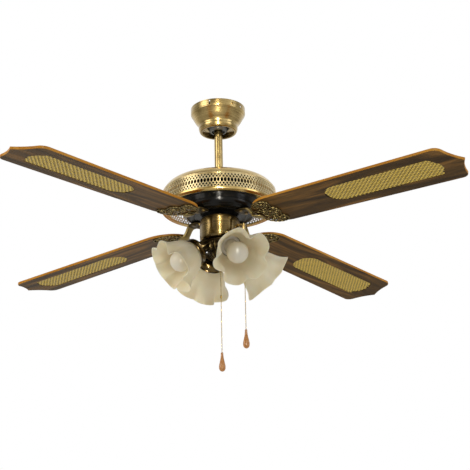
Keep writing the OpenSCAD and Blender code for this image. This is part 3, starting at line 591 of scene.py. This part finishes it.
half = (arc(178, 0, 66, 61.5, 180, 90, 18) + arc(617, 50, 19.5, 19.5, 90, 8, 9)
    + curve3((637, 49.5), (643, 24), (660, 0.6), 10))
board_line = half + [(u, -v) for u, v in half[::-1]]
half = (arc(350, 0, 39, 34, 180, 90, 16) + arc(586, 29, 7, 7, 90, 20, 5)
    + curve3((594, 27), (606, 12), (606, 0.5), 6))
recess_line = half + [(u, -v) for u, v in half[::-1]]


def shrunk(line, t):
    """The outline moved inwards by t."""
    out, n = [], len(line)
    for i, p in enumerate(line):
        a, b = line[i - 1], line[(i + 1) % n]
        d = math.dist(a, b) or 1
        out.append((p[0] + t * (b[1] - a[1]) / d, p[1] - t * (b[0] - a[0]) / d))
    return out


def board_mesh(i):
    """A blade with eased edges and a recess; faces carry walnut 0, oak 1."""
    made = bmesh.new()
    rings = [(0.9, -board / 2), (0.25, -board / 2 + 0.25), (0, -board / 2 + 0.9), (0, board / 2 - 0.9),
        (0.25, board / 2 - 0.25), (0.9, board / 2)]
    loops = [[made.verts.new((u, v, z)) for u, v in shrunk(board_line, t)] for t, z in rings]
    n = len(board_line)
    for a, b in zip(loops, loops[1:]):
        for j in range(n):
            k = (j + 1) % n
            made.faces.new((a[j], a[k], b[k], b[j])).material_index = 1
    made.faces.new(loops[-1]).material_index = 1
    mouth = [made.verts.new((u, v, -board / 2)) for u, v in shrunk(recess_line, -0.6)]
    floor_ring = [made.verts.new((u, v, -board / 2 + recess_deep)) for u, v in shrunk(recess_line, -0.2)]
    m = len(recess_line)
    for j in range(m):
        k = (j + 1) % m
        made.faces.new((mouth[j], mouth[k], floor_ring[k], floor_ring[j])).material_index = 0
    made.faces.new(floor_ring).material_index = 0
    edges = [made.edges.get((loops[0][j], loops[0][(j + 1) % n])) for j in range(n)]
    edges += [made.edges.get((mouth[j], mouth[(j + 1) % m])) for j in range(m)]
    filled = bmesh.ops.triangle_fill(made, edges=edges, use_beauty=True)
    for f in filled["geom"]:
        if isinstance(f, bmesh.types.BMFace):
            f.material_index = 0
    bmesh.ops.recalc_face_normals(made, faces=made.faces)
    uv = made.loops.layers.uv.new("board")
    for f in made.faces:
        for corner in f.loops:
            c = corner.vert.co
            corner[uv].uv = (c.x * MM + i * 1.7, (c.y + 2 * c.z) * MM + i * 0.9)
    mesh = bpy.data.meshes.new("blade_board_%d" % (i + 1))
    made.to_mesh(mesh)
    made.free()
    mesh.transform(blade_place(i))
    mesh.transform(Matrix.Scale(MM, 4))
    mesh.polygons.foreach_set("use_smooth", [True] * len(mesh.polygons))
    mesh.set_sharp_from_angle(angle=math.radians(12))
    mesh.materials.append(walnut)
    mesh.materials.append(oak)
    return mesh


for i in range(4):
    blade = bpy.data.objects.new("blade_board_%d" % (i + 1), board_mesh(i))
    bpy.context.scene.collection.objects.link(blade)
    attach(blade, "rotor")
    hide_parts("blade_%d" % (i + 1))


# Cane panels: flat split-cane strands, over one and under one, glued into each recess
cane, tree = blank("cane_split_woven_varnished")
strand_uv = add(tree, "ShaderNodeUVMap", uv_map="strand")
fibre = add(tree, "ShaderNodeMapping", {"Scale": (40, 1500, 1)}, {0: strand_uv.outputs[0]})
fibres = add(tree, "ShaderNodeTexNoise", {"Scale": 1.0, "Detail": 3.0}, {0: fibre.outputs[0]})
tone = ramp(add(tree, "ShaderNodeValToRGB", links={0: fibres.outputs[0]}),
    (0.25, "#d4aa32"), (0.6, "#f4d35a"))
# The long narrow strands are drawn near black, as painted shade for the gaps and under-passes of the weave
hollow = add(tree, "ShaderNodeAttribute", attribute_name="hollow")
gap_shade_mix = add(tree, "ShaderNodeMix", {7: linear("#3d2c0e")}, {0: hollow.outputs["Fac"], 6: tone.outputs[0]},
    data_type="RGBA")
dress(cane, {"Roughness": 0.42}, {"Base Color": gap_shade_mix.outputs[2]})
# A dark sheet behind the cane, without gloss: painted shade in the gaps of the weave
shade_sheet = plastic("sheet_painted_shade_dark", "#2c210c", 0.9)


def span_at(line, axis, value):
    """Where a line across the convex outline enters and leaves it, or None."""
    hits = []
    for a, b in zip(line, line[1:] + line[:1]):
        if (a[axis] - value) * (b[axis] - value) < 0:
            t = (value - a[axis]) / (b[axis] - a[axis])
            hits.append(a[1 - axis] + t * (b[1 - axis] - a[1 - axis]))
    return (min(hits), max(hits)) if len(hits) == 2 else None


# Real strands lie closer together; these are as coarse as the weave needs to show
long_pitch, cross_pitch = 5.0, 5.6
weave_z, backing_z, lift = -2.15, -1.35, 0.36
points, faces, marks, deep = [], [], [], []
edge = shrunk(recess_line, 0.2)
for i in range(4):
    place = blade_place(i)
    for axis, spacing, other in ((1, long_pitch, cross_pitch), (0, cross_pitch, long_pitch)):
        low, high = (-36, 36) if axis else (311, 606)
        for s in range(int(low / spacing), int(high / spacing) + 1):
            at = (s + 0.5) * spacing
            ends = span_at(edge, axis, at)
            if ends is None or ends[1] - ends[0] < 3:
                continue
            phase = s % 2 if axis else (s + 1) % 2
            steps = max(4, int((ends[1] - ends[0]) / other * 4))
            width = spacing * (0.2 if axis else 0.46)
            for k in range(steps + 1):
                x = ends[0] + (ends[1] - ends[0]) * k / steps
                wave = math.cos(math.pi * (x / other - 0.5 + phase))
                z = weave_z - lift * wave
                for w, dz in ((-width, 0.12), (0, -0.1), (width, 0.12)):
                    p = (x, at + w, z + dz) if axis else (at + w, x, z + dz)
                    points.append(tuple(place @ Vector(p)))
                    marks.append((x * MM + s * 0.37, w * MM + s * 0.11))
                    # Each long strand gets 0.9 of the painted gap shade, each cross strand none
                    deep.append(0.9 if axis else 0.0)
                if k:
                    b = len(points)
                    faces += [(b - 6, b - 5, b - 2, b - 3), (b - 5, b - 4, b - 1, b - 2)]
weave = mesh_piece("cane_weave", points, faces, cane, "rotor", "woven_cane", 80)
layer = weave.data.uv_layers.new(name="strand")
for corner in weave.data.loops:
    layer.data[corner.index].uv = marks[corner.vertex_index]
# The painted gap shade is stored on each point
dark = weave.data.attributes.new("hollow", "FLOAT", "POINT")
dark.data.foreach_set("value", deep)
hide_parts("cane_panels")
points, faces = [], []
for i in range(4):
    base = len(points)
    points += [tuple(blade_place(i) @ Vector((u, v, backing_z))) for u, v in edge]
    faces.append(list(range(base, base + len(edge))))
mesh_piece("cane_backing", points, faces, shade_sheet, "rotor", "woven_cane", 0)


# ---------------------------------------------------------------- blade irons
# Sand-cast arms in dark antique brass: a foot screwed under the motor, a cranked bar, and a
# flat filigree of loops and petals under each blade, bright along its ridges from wear and painted highlight.

# Dark lacquered casting: the sand's fine pitting, brown in the hollows, and brass on the ridges from wear and
# painted highlight
cast, tree = blank("brass_cast_antiqued")
where = add(tree, "ShaderNodeTexCoord")
pits = add(tree, "ShaderNodeTexNoise", {"Scale": 900.0, "Detail": 4.0}, {0: where.outputs["Object"]})
toning = ramp(add(tree, "ShaderNodeValToRGB", links={0: pits.outputs[0]}), (0.3, "#1b150b"), (0.7, "#3a2f1c"))
ridge_wear_and_highlight = add(tree, "ShaderNodeAttribute", attribute_name="ridge_wear_and_highlight")
wear_and_highlight = add(tree, "ShaderNodeMix", {7: linear("#9c8a5c")}, {0: ridge_wear_and_highlight.outputs["Fac"], 6: toning.outputs[0]},
    data_type="RGBA")
sheen = add(tree, "ShaderNodeMapRange", {3: 0.34, 4: 0.5}, {0: pits.outputs[0]})
dents = add(tree, "ShaderNodeBump", {"Strength": 0.3, "Distance": 0.00015}, {"Height": pits.outputs[0]})
dress(cast, {"Metallic": 1.0},
    {"Base Color": wear_and_highlight.outputs[2], "Roughness": sheen.outputs[0], "Normal": dents.outputs[0]})


def set_wear_and_highlight(piece, values):
    """Says how bright each point is drawn, from 0 in the hollows to 1 on the ridges: wear and painted
    highlight.
    """
    piece.data.attributes.new("ridge_wear_and_highlight", "FLOAT", "POINT").data.foreach_set("value", values)


# The castings lie just under the board
iron_top = -3.05


def strand(path, wide, tall, closed=True):
    """A half-round bar hanging from iron_top along a flat path: points, faces, and how bright each point is
    drawn.
    """
    # Each bar's lower crest is set bright: wear, and painted highlight
    shape = [(-0.5, 0, 0.0), (-0.46, -0.55, 0.15), (-0.2, -0.94, 0.8), (0.2, -0.94, 0.8), (0.46, -0.55, 0.15),
        (0.5, 0, 0.0)]
    points, faces, wear_and_light, n = [], [], [], len(path)
    for i, (x, y) in enumerate(path):
        a = path[i - 1] if closed or i else path[0]
        b = path[(i + 1) % n] if closed or i < n - 1 else path[-1]
        d = math.dist(a, b) or 1
        for across, down, wear_and_light_here in shape:
            points.append((x - (b[1] - a[1]) / d * across * wide, y + (b[0] - a[0]) / d * across * wide,
                iron_top + down * tall))
            wear_and_light.append(wear_and_light_here)
    m = len(shape)
    for i in range(n if closed else n - 1):
        for k in range(m):
            beyond = (i + 1) % n * m
            faces.append((i * m + k, i * m + (k + 1) % m, beyond + (k + 1) % m, beyond + k))
    if not closed:
        faces += [tuple(range(m))[::-1], tuple(range((n - 1) * m, n * m))]
    return points, faces, wear_and_light


def gathered(parts):
    """Several (points, faces, how bright each point is drawn) shapes as one."""
    points, faces, wear_and_light = [], [], []
    for p, f, w in parts:
        faces += [tuple(len(points) + v for v in face) for face in f]
        points += p
        wear_and_light += w
    return points, faces, wear_and_light


def flower(cx, cy, reach, petals, turn):
    """A ring with a domed boss for the screw, and teardrop loops radiating from it."""
    parts = [strand(arc(cx, cy, 6.4, 6.4, 0, 345, 23), 3.2, 4.0)]
    for k in range(petals):
        a = math.radians(turn + 360 * k / petals)
        drop = [(8 + (reach - 8) * math.sin(t / 2) ** 1.2, -0.2 * reach * math.sin(t)) for t in
            (2 * math.pi * j / 16 for j in range(16))]
        parts.append(strand([(cx + x * math.cos(a) - y * math.sin(a), cy + x * math.sin(a) + y * math.cos(a))
            for x, y in drop], 1.7, 2.8))
    return parts


def rippled(line, n, deep):
    """A closed outline resampled evenly, with n scallops pressed into it."""
    lengths = [math.dist(a, b) for a, b in zip(line, line[1:] + line[:1])]
    total, out, count = sum(lengths), [], n * 8
    i, gone = 0, 0.0
    for k in range(count):
        want = total * k / count
        while gone + lengths[i] < want:
            gone += lengths[i]
            i += 1
        t = (want - gone) / lengths[i]
        a, b = line[i], line[(i + 1) % len(line)]
        d = math.dist(a, b)
        push = deep * abs(math.sin(math.pi * n * k / count))
        out.append((a[0] + (b[0] - a[0]) * t + push * (b[1] - a[1]) / d,
            a[1] + (b[1] - a[1]) * t - push * (b[0] - a[0]) / d))
    return out


side = (curve3((106, 0), (106, 12), (116, 18), 5)[:-1] + curve3((116, 18), (121, 38), (136, 48), 7)[:-1]
    + curve3((136, 48), (152, 56), (165, 50), 7)[:-1] + curve3((165, 50), (176, 42), (170, 31), 6)[:-1]
    + curve3((170, 31), (164, 21), (169, 14), 5)[:-1] + curve3((169, 14), (177, 7), (174, 0.4), 5))
rim = [(u, -v) for u, v in side] + side[::-1]
filigree = [strand(rippled(rim, 30, 1.6), 2.4, 3.4)]
filigree += flower(150, 0, 20.5, 10, 18) + flower(152, 36, 15.5, 8, 10) + flower(152, -36, 15.5, 8, -10)
for way in (-1, 1):
    filigree.append(strand([(110 + 12 * t, way * (5 + 15 * t + 5 * math.sin(3 * t))) for t in
        (k / 10 for k in range(11))], 3.0, 3.4, closed=False))
    curl = [(131 + (9 - 1.1 * t) * math.cos(t + 2.6), way * (17 + (9 - 1.1 * t) * math.sin(t + 2.6))) for t in
        (0.5 * k for k in range(13))]
    filigree.append(strand(curl, 2.0, 3.0, closed=False))
    curl = [(132 + (6.5 - 0.8 * t) * math.cos(2.2 - t), way * (36 + (6.5 - 0.8 * t) * math.sin(2.2 - t)))
        for t in (0.5 * k for k in range(12))]
    filigree.append(strand(curl, 1.9, 3.0, closed=False))
plate_shape = gathered(filigree)

# Cranked bar: each station is its place along and down, then half its width and thickness
crank = [(57, -283.5, 9, 1.2), (58, -283.5, 15, 2.2), (62, -283.5, 17.4, 2.5), (80, -283.5, 16.5, 2.5),
    (86, -283.6, 13.5, 2.7), (91, -285.2, 11, 3.1), (95.5, -290, 9.6, 3.5), (99.5, -297, 9.2, 3.6),
    (104, -303.6, 9.8, 3.3), (110, -307.6, 11.4, 2.7), (118, -309, 11.6, 2.2), (125, -309.2, 8, 1.8),
    (128, -309.3, 3, 1.4)]
points, faces, wear_and_light = [], [], []
around_bar = 20
for i, (u, z, half_w, half_t) in enumerate(crank):
    a, b = crank[max(i - 1, 0)], crank[min(i + 1, len(crank) - 1)]
    d = math.hypot(b[0] - a[0], b[1] - a[1])
    nx, nz = -(b[1] - a[1]) / d, (b[0] - a[0]) / d
    for k in range(around_bar):
        t = 2 * math.pi * k / around_bar
        c, e = math.cos(t), math.sin(t)
        v = half_w * math.copysign(abs(c) ** 0.45, c)
        h = half_t * math.copysign(abs(e) ** 0.6, e)
        points.append((u + nx * h, v, z + nz * h))
        # Past the crank the bar is set fully bright, as painted light where it comes out from under the
        # motor; nearer the motor it stays almost dark, as painted shade
        wear_and_light.append(1.0 if i > 4 else 0.15)
    if i:
        near, far = (i - 1) * around_bar, i * around_bar
        faces += [(near + k, near + (k + 1) % around_bar, far + (k + 1) % around_bar, far + k)
            for k in range(around_bar)]
faces += [tuple(range(around_bar))[::-1], tuple(range(len(points) - around_bar, len(points)))]
arm_shape = (points, faces, wear_and_light)

for i in range(4):
    turn = Matrix.Rotation(math.radians(blade_az + 90 * i), 4, "Z")
    for name, place, (points, faces, wear_and_light) in (("iron_filigree", blade_place(i), plate_shape),
            ("iron_arm", turn, arm_shape)):
        iron = mesh_piece("%s_%d" % (name, i + 1), [tuple(place @ Vector(p)) for p in points], faces, cast,
            "rotor", "dark_brass", 50)
        set_wear_and_highlight(iron, wear_and_light)
        if name == "iron_filigree":
            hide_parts("blade_iron_%d" % (i + 1))

# Domed screw heads, toned with the castings
toned_steel = metal("steel_screw_bronzed", "#8a7346", "#4e3f24", 0.4, 0.32, 0.6)
finish_cad(toned_steel, "iron_screws", "blade_screws")


# ---------------------------------------------------------------- switch housing
# A plate clamped on the shaft's end carries a deep spun cup, held by three side screws; it
# covers the capacitor, the wires, and the speed and reversing switches.

# Brass of the plate drawn dark as painted shade, where it shows as a shadowed neck above the cup
painted_shade_plate_brass = metal("brass_plate_painted_shade", "#5c4a2a", "#33270f", 0.8, 0.34, 0.6, coat=0.2)
finish_cad(painted_shade_plate_brass, "switch_plate")
# The cup's own plating is drawn darker than the canopy's, as painted shade
painted_shade_brass = metal("brass_antique_painted_shade", "#8f7846", "#46371c", 0.8, 0.24, 0.4, coat=0.3)
finish_cad(painted_shade_brass, "switch_housing")


# ---------------------------------------------------------------- light kit hub
# A dark antique brass casting of folded leaves, screwed up under the switch housing, with
# four leafed arms threaded into it and a turned finial that the light's chain leaves by.

def leafed_mesh(profile, leaves, steps=192):
    """A turned shape whose skin is pressed into leaves: (radius, height, depth of relief)."""
    points, faces, wear_and_light, n = [], [], [], len(profile)
    for r, z, deep in profile:
        for j in range(steps):
            a = 2 * math.pi * j / steps
            leaf = abs(math.cos(leaves * a / 2))
            vein = math.exp(-((1 - leaf) / 0.012) ** 2) * 0.35
            fold = leaf ** 0.45 - vein
            skin = r - deep * (1 - fold)
            points.append((skin * math.cos(a), skin * math.sin(a), z - deep * 0.5 * fold))
            # Only narrow lines along the leaf crests are set bright: painted highlight as well as wear of the
            # relief
            wear_and_light.append(min(0.8, max(0.0, (leaf - 0.96) * 20)) * min(1.0, deep / 1.5))
    for i in range(n - 1):
        for j in range(steps):
            k = (j + 1) % steps
            faces.append((i * steps + j, i * steps + k, (i + 1) * steps + k, (i + 1) * steps + j))
    faces += [tuple(range(steps)), tuple(range((n - 1) * steps, n * steps))[::-1]]
    return points, faces, wear_and_light


hub_line = [(12, -341.1, 0), (27, -341.1, 0), (31.6, -341.8, 0), (33.2, -343, 0), (33.4, -344.6, 0),
    (32.6, -346, 0.2), (31, -346.8, 0.4), (31.4, -348.5, 1.6), (33.2, -351.5, 3.0), (34.2, -355, 3.6),
    (34.2, -358.5, 3.6), (33, -362, 3.4), (30.4, -365.4, 2.8), (27.2, -368, 1.6), (25.8, -369.6, 0.5),
    (27.6, -370.8, 0.3), (28.4, -372.4, 0.3), (27.4, -374, 0.4), (26, -375.6, 1.4), (24.4, -378.6, 2.2),
    (21.4, -381.6, 2.4), (17.4, -384.2, 2.0), (13, -386.4, 1.2), (9.6, -388, 0.3), (8, -388.9, 0),
    (5, -389, 0)]
points, faces, wear_and_light = leafed_mesh(hub_line, 16)
hub = mesh_piece("hub_leaf_casting", points, faces, cast, "hanging", "dark_brass", 50)
set_wear_and_highlight(hub, wear_and_light)
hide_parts("light_hub")
# The finial takes the same darker brass, as painted shade
finish_cad(painted_shade_brass, "finial")

# Each shade's neck is this far out and at this height, and its axis points down by the tilt
shade_az, shade_tilt, neck_out, neck_z = -66.3, 36.6, 65.3, -376.3


def shade_place(i):
    """From a shade's own axis (+Z outwards, 0 at its neck) to the frame, in millimetres."""
    return (Matrix.Rotation(math.radians(shade_az + 90 * i), 4, "Z")
        @ Matrix.Translation((neck_out, 0, neck_z)) @ Matrix.Rotation(math.radians(90 + shade_tilt), 4, "Y"))


def four_shades(points, faces, wear_and_light=()):
    """The same shape placed on each of the four shade axes."""
    return gathered([([tuple(shade_place(i) @ Vector(p)) for p in points], faces, wear_and_light) for i in range(4)])


# Leafed sleeve over each arm, flaring into the back of the cup
sleeve = [(4, -50, 0), (10.5, -49.5, 0.3), (11.6, -47, 0.6), (10.8, -44, 0.8), (11.6, -39, 1.8),
    (13.4, -33, 2.4), (14.8, -28, 2.4), (14.6, -24, 1.8), (13.2, -21.4, 0.6), (15, -20, 0.3),
    (15.6, -18.6, 0.2), (14.4, -17.2, 0.2), (13, -16.2, 0), (4, -16, 0)]
points, faces, wear_and_light = four_shades(*leafed_mesh(sleeve, 8, 72))
sleeves = mesh_piece("arm_leaf_sleeves", points, faces, cast, "hanging", "dark_brass", 50)
set_wear_and_highlight(sleeves, wear_and_light)

# Spun cup with a rolled mouth and two beads, gripping the glass by three thumb screws
cup_line = [(4, -15.6), (14, -15.8), (19, -15.4), (24, -14.4), (27.6, -12.6), (29.9, -10), (31, -7.6),
    (31.6, -6.6), (31.2, -5.6), (31.2, 0.6), (31.7, 1.6), (32.5, 2.6), (33, 3.6), (32.5, 4.6), (31.2, 4.8),
    (30.4, 4.3), (30.1, 3.2), (30, -6), (28.4, -10), (23.5, -13.2), (4, -14.4)]
points, faces = lathe_mesh(cup_line, 72)
points, faces, _ = four_shades(points, [f[::-1] for f in faces])
# The cups are drawn almost black as painted shade, with brass left in the highlights
painted_shade_cup_brass = metal("brass_cup_painted_shade", "#6b5730", "#1d160a", 0.8, 0.26, 0.5, coat=0.3)
cups = mesh_piece("holder_cups", points, faces, painted_shade_cup_brass, "hanging", "antique_brass", 40)
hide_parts("shade_holders")


def thumb_screw():
    """A thumb screw lying along +X: a plain shank and a knurled head with a dished end."""
    line = [(0, 27.9), (1.8, 28.1), (1.8, 34), (2.4, 34), (2.4, 34.4), (3.8, 34.9), (3.8, 38.2), (3.2, 39),
        (2.4, 38.7), (0, 38.4)]
    points, faces = lathe_mesh(line, 36, closed=False)
    turned = []
    for x, y, z in points:
        r = math.hypot(x, y)
        if r > 3.7:
            grip = 0.92 if int(round(math.degrees(math.atan2(y, x)) / 10)) % 2 else 1.0
            x, y = x * grip, y * grip
        turned.append((z, x, y))
    return turned, faces


points, faces = thumb_screw()
below_mouth = Vector((0, 0, -4))
three = []
for bearing in (90, 210, 330):
    spin = Matrix.Rotation(math.radians(bearing), 4, "Z")
    three.append(([tuple(spin @ Vector(p) + below_mouth) for p in points], faces, ()))
points, faces, _ = four_shades(*gathered(three))
grips = mesh_piece("knurled_thumb_screws", points, faces, rubbed, "hanging", "polished_brass", 25)
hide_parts("thumb_screws")


# ---------------------------------------------------------------- bulbs and lampholders
# Glazed porcelain screw lampholders sit inside the cups; each takes a small frosted globe.

# Glazed porcelain: warm white, glossy, with the faint waviness of a fired glaze
porcelain = plastic("porcelain_glazed_white", "#efeae0", 0.14, 6.0)
holder_line = [(13.2, -6.8), (13.2, 21), (14, 21.5), (16.4, 21.5), (17, 20.8), (17, -3), (18, -4.4),
    (23.6, -5.4), (24.4, -6.4), (24.2, -7.6), (17, -8.6), (17, -12.8), (3.2, -12.8), (3.2, -6.8)]
points, faces, _ = four_shades(*lathe_mesh(eased(holder_line, 0.6), 48))
sockets = mesh_piece("porcelain_lampholders", points, faces, porcelain, "hanging", "porcelain", 40)
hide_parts("lampholders")
# Inside-frosted glass: white, soft and slightly see-through; the cap is spun aluminium
opal = dress(plastic("glass_inside_frosted", "#f1ead8", 0.3, 1.0),
    {"Subsurface Weight": 0.35, "Subsurface Radius": (0.012, 0.01, 0.008)})
aluminium = metal("aluminium_cap_spun", "#cfcfcb", "#a5a5a2", 0.5, 0.3, 0.4)
globe_r, globe_z, cap_r, cap_top = 25, 43, 12.9, 20
globe_line = [(0, -6.5), (5, -6.5), (6, -4), (12.2, -2.4)]
globe_line += [(cap_r - (0.55 if k % 2 else 0), -1.6 + 1.15 * k) for k in range(18)] + [(cap_r, 20.6)]
globe_line += [(globe_r * math.cos(math.radians(a)), globe_z + globe_r * math.sin(math.radians(a)))
    for a in range(-56, 90, 4)]
globe_line += [(0, globe_z + globe_r)]
one, faces = lathe_mesh(globe_line, 64, closed=False)
points, faces, _ = four_shades(one, faces)
globes = mesh_piece("globe_bulbs", points, faces, [opal, aluminium], "hanging", "bulb_glass", 40)
cap_faces = [1 if max(one[v % len(one)][2] for v in face) < cap_top else 0 for face in faces]
globes.data.polygons.foreach_set("material_index", cap_faces)
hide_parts("bulbs")


# ---------------------------------------------------------------- glass shades
# Tulip shades pressed and frosted in one piece: a straight neck gripped by the cup, and a
# bell that opens into rolled petals, no two alike, with tight folds between them.

# Acid-frosted glass: pale amber-white, matt, lit through by the room behind it
frosted, tree = blank("glass_pressed_acid_frosted")
where = add(tree, "ShaderNodeTexCoord")
etch = add(tree, "ShaderNodeTexNoise", {"Scale": 1400.0, "Detail": 3.0}, {0: where.outputs["Object"]})
wash = add(tree, "ShaderNodeTexNoise", {"Scale": 30.0, "Detail": 3.0}, {0: where.outputs["Object"]})
tone = ramp(add(tree, "ShaderNodeValToRGB", links={0: wash.outputs[0]}), (0.3, "#f4e8c8"), (0.7, "#fcf2d8"))
frost = add(tree, "ShaderNodeMapRange", {3: 0.42, 4: 0.6}, {0: etch.outputs[0]})
tooth = add(tree, "ShaderNodeBump", {"Strength": 0.15, "Distance": 0.0001}, {"Height": etch.outputs[0]})
dress(frosted, {"Subsurface Weight": 0.6, "Subsurface Radius": (0.03, 0.026, 0.02),
    "Specular IOR Level": 0.35},
    {"Base Color": tone.outputs[0], "Roughness": frost.outputs[0], "Normal": tooth.outputs[0]})

# Each station of the bell is its place along the axis and its mean radius
bell = [(-8.4, 28.6), (-6.4, 28.6), (-5, 27.4), (0, 27.5), (4.6, 28.7), (7, 31.4), (9.6, 34), (14, 37.8),
    (19, 41), (25, 43.8), (32, 46.2), (39, 48), (46, 49.4), (53, 50.8), (59, 52.4), (64, 54.4), (68, 56.6),
    (71.5, 58.8), (74, 60.2), (75.6, 60.8)]
glass_wall, flare, droop = 2.4, 9.6, 4.5


def petal_mesh(notches, steps=180):
    """One shade, hand-ruffled with a fold at each bearing: both skins and a rounded lip."""
    def ring(s, r):
        """A ruffled ring; the ruffle starts 20 mm past the neck and is full at the lip."""
        out = []
        grow = max(0.0, (s - 20) / 56) ** 1.6
        for j in range(steps):
            a = 2 * math.pi * j / steps
            w = 0.95
            for bearing, spread, depth in notches:
                away = (math.degrees(a) - bearing + 180) % 360 - 180
                w -= depth * math.exp(-(away / spread) ** 2)
            d = r + flare * w * grow
            out.append((d * math.cos(a), d * math.sin(a), s - droop * max(w, -1.0) * grow))
        return out

    outside = [ring(s, r) for s, r in bell]
    lip = [ring(76.2, 60.4), ring(76.2, 59.4), ring(75.6, 58.6)]
    inside = [ring(s, r - glass_wall) for s, r in bell[::-1][1:]]
    rows = outside + lip + inside
    points = [p for row in rows for p in row]
    n, m = steps, len(rows)
    faces = [(i * n + j, i * n + (j + 1) % n, (i + 1) % m * n + (j + 1) % n, (i + 1) % m * n + j)
        for i in range(m) for j in range(n)]
    return points, faces


# The folds of each shade: their bearing, half-width in degrees, and depth
folds = [[(28, 12, 1.6), (98, 12, 1.8), (172, 13, 2.3), (268, 12, 1.6), (318, 12, 1.6)],
    [(286, 28, 3.4), (70, 15, 2.0), (125, 13, 1.8), (195, 14, 2.0)],
    [(34, 15, 2.2), (95, 13, 2.0), (160, 13, 2.0), (220, 13, 2.0), (330, 12, 2.0)],
    [(122, 12, 2.2), (180, 15, 1.8), (240, 12, 1.6), (285, 12, 2.0), (330, 13, 2.0), (40, 14, 2.0)]]
for i, notches in enumerate(folds):
    points, faces = petal_mesh(notches)
    place = shade_place(i)
    glass = mesh_piece("tulip_shade_%d" % (i + 1), [tuple(place @ Vector(p)) for p in points], faces, frosted,
        "hanging", "frosted_glass", 60)
    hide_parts("shade_%d" % (i + 1))
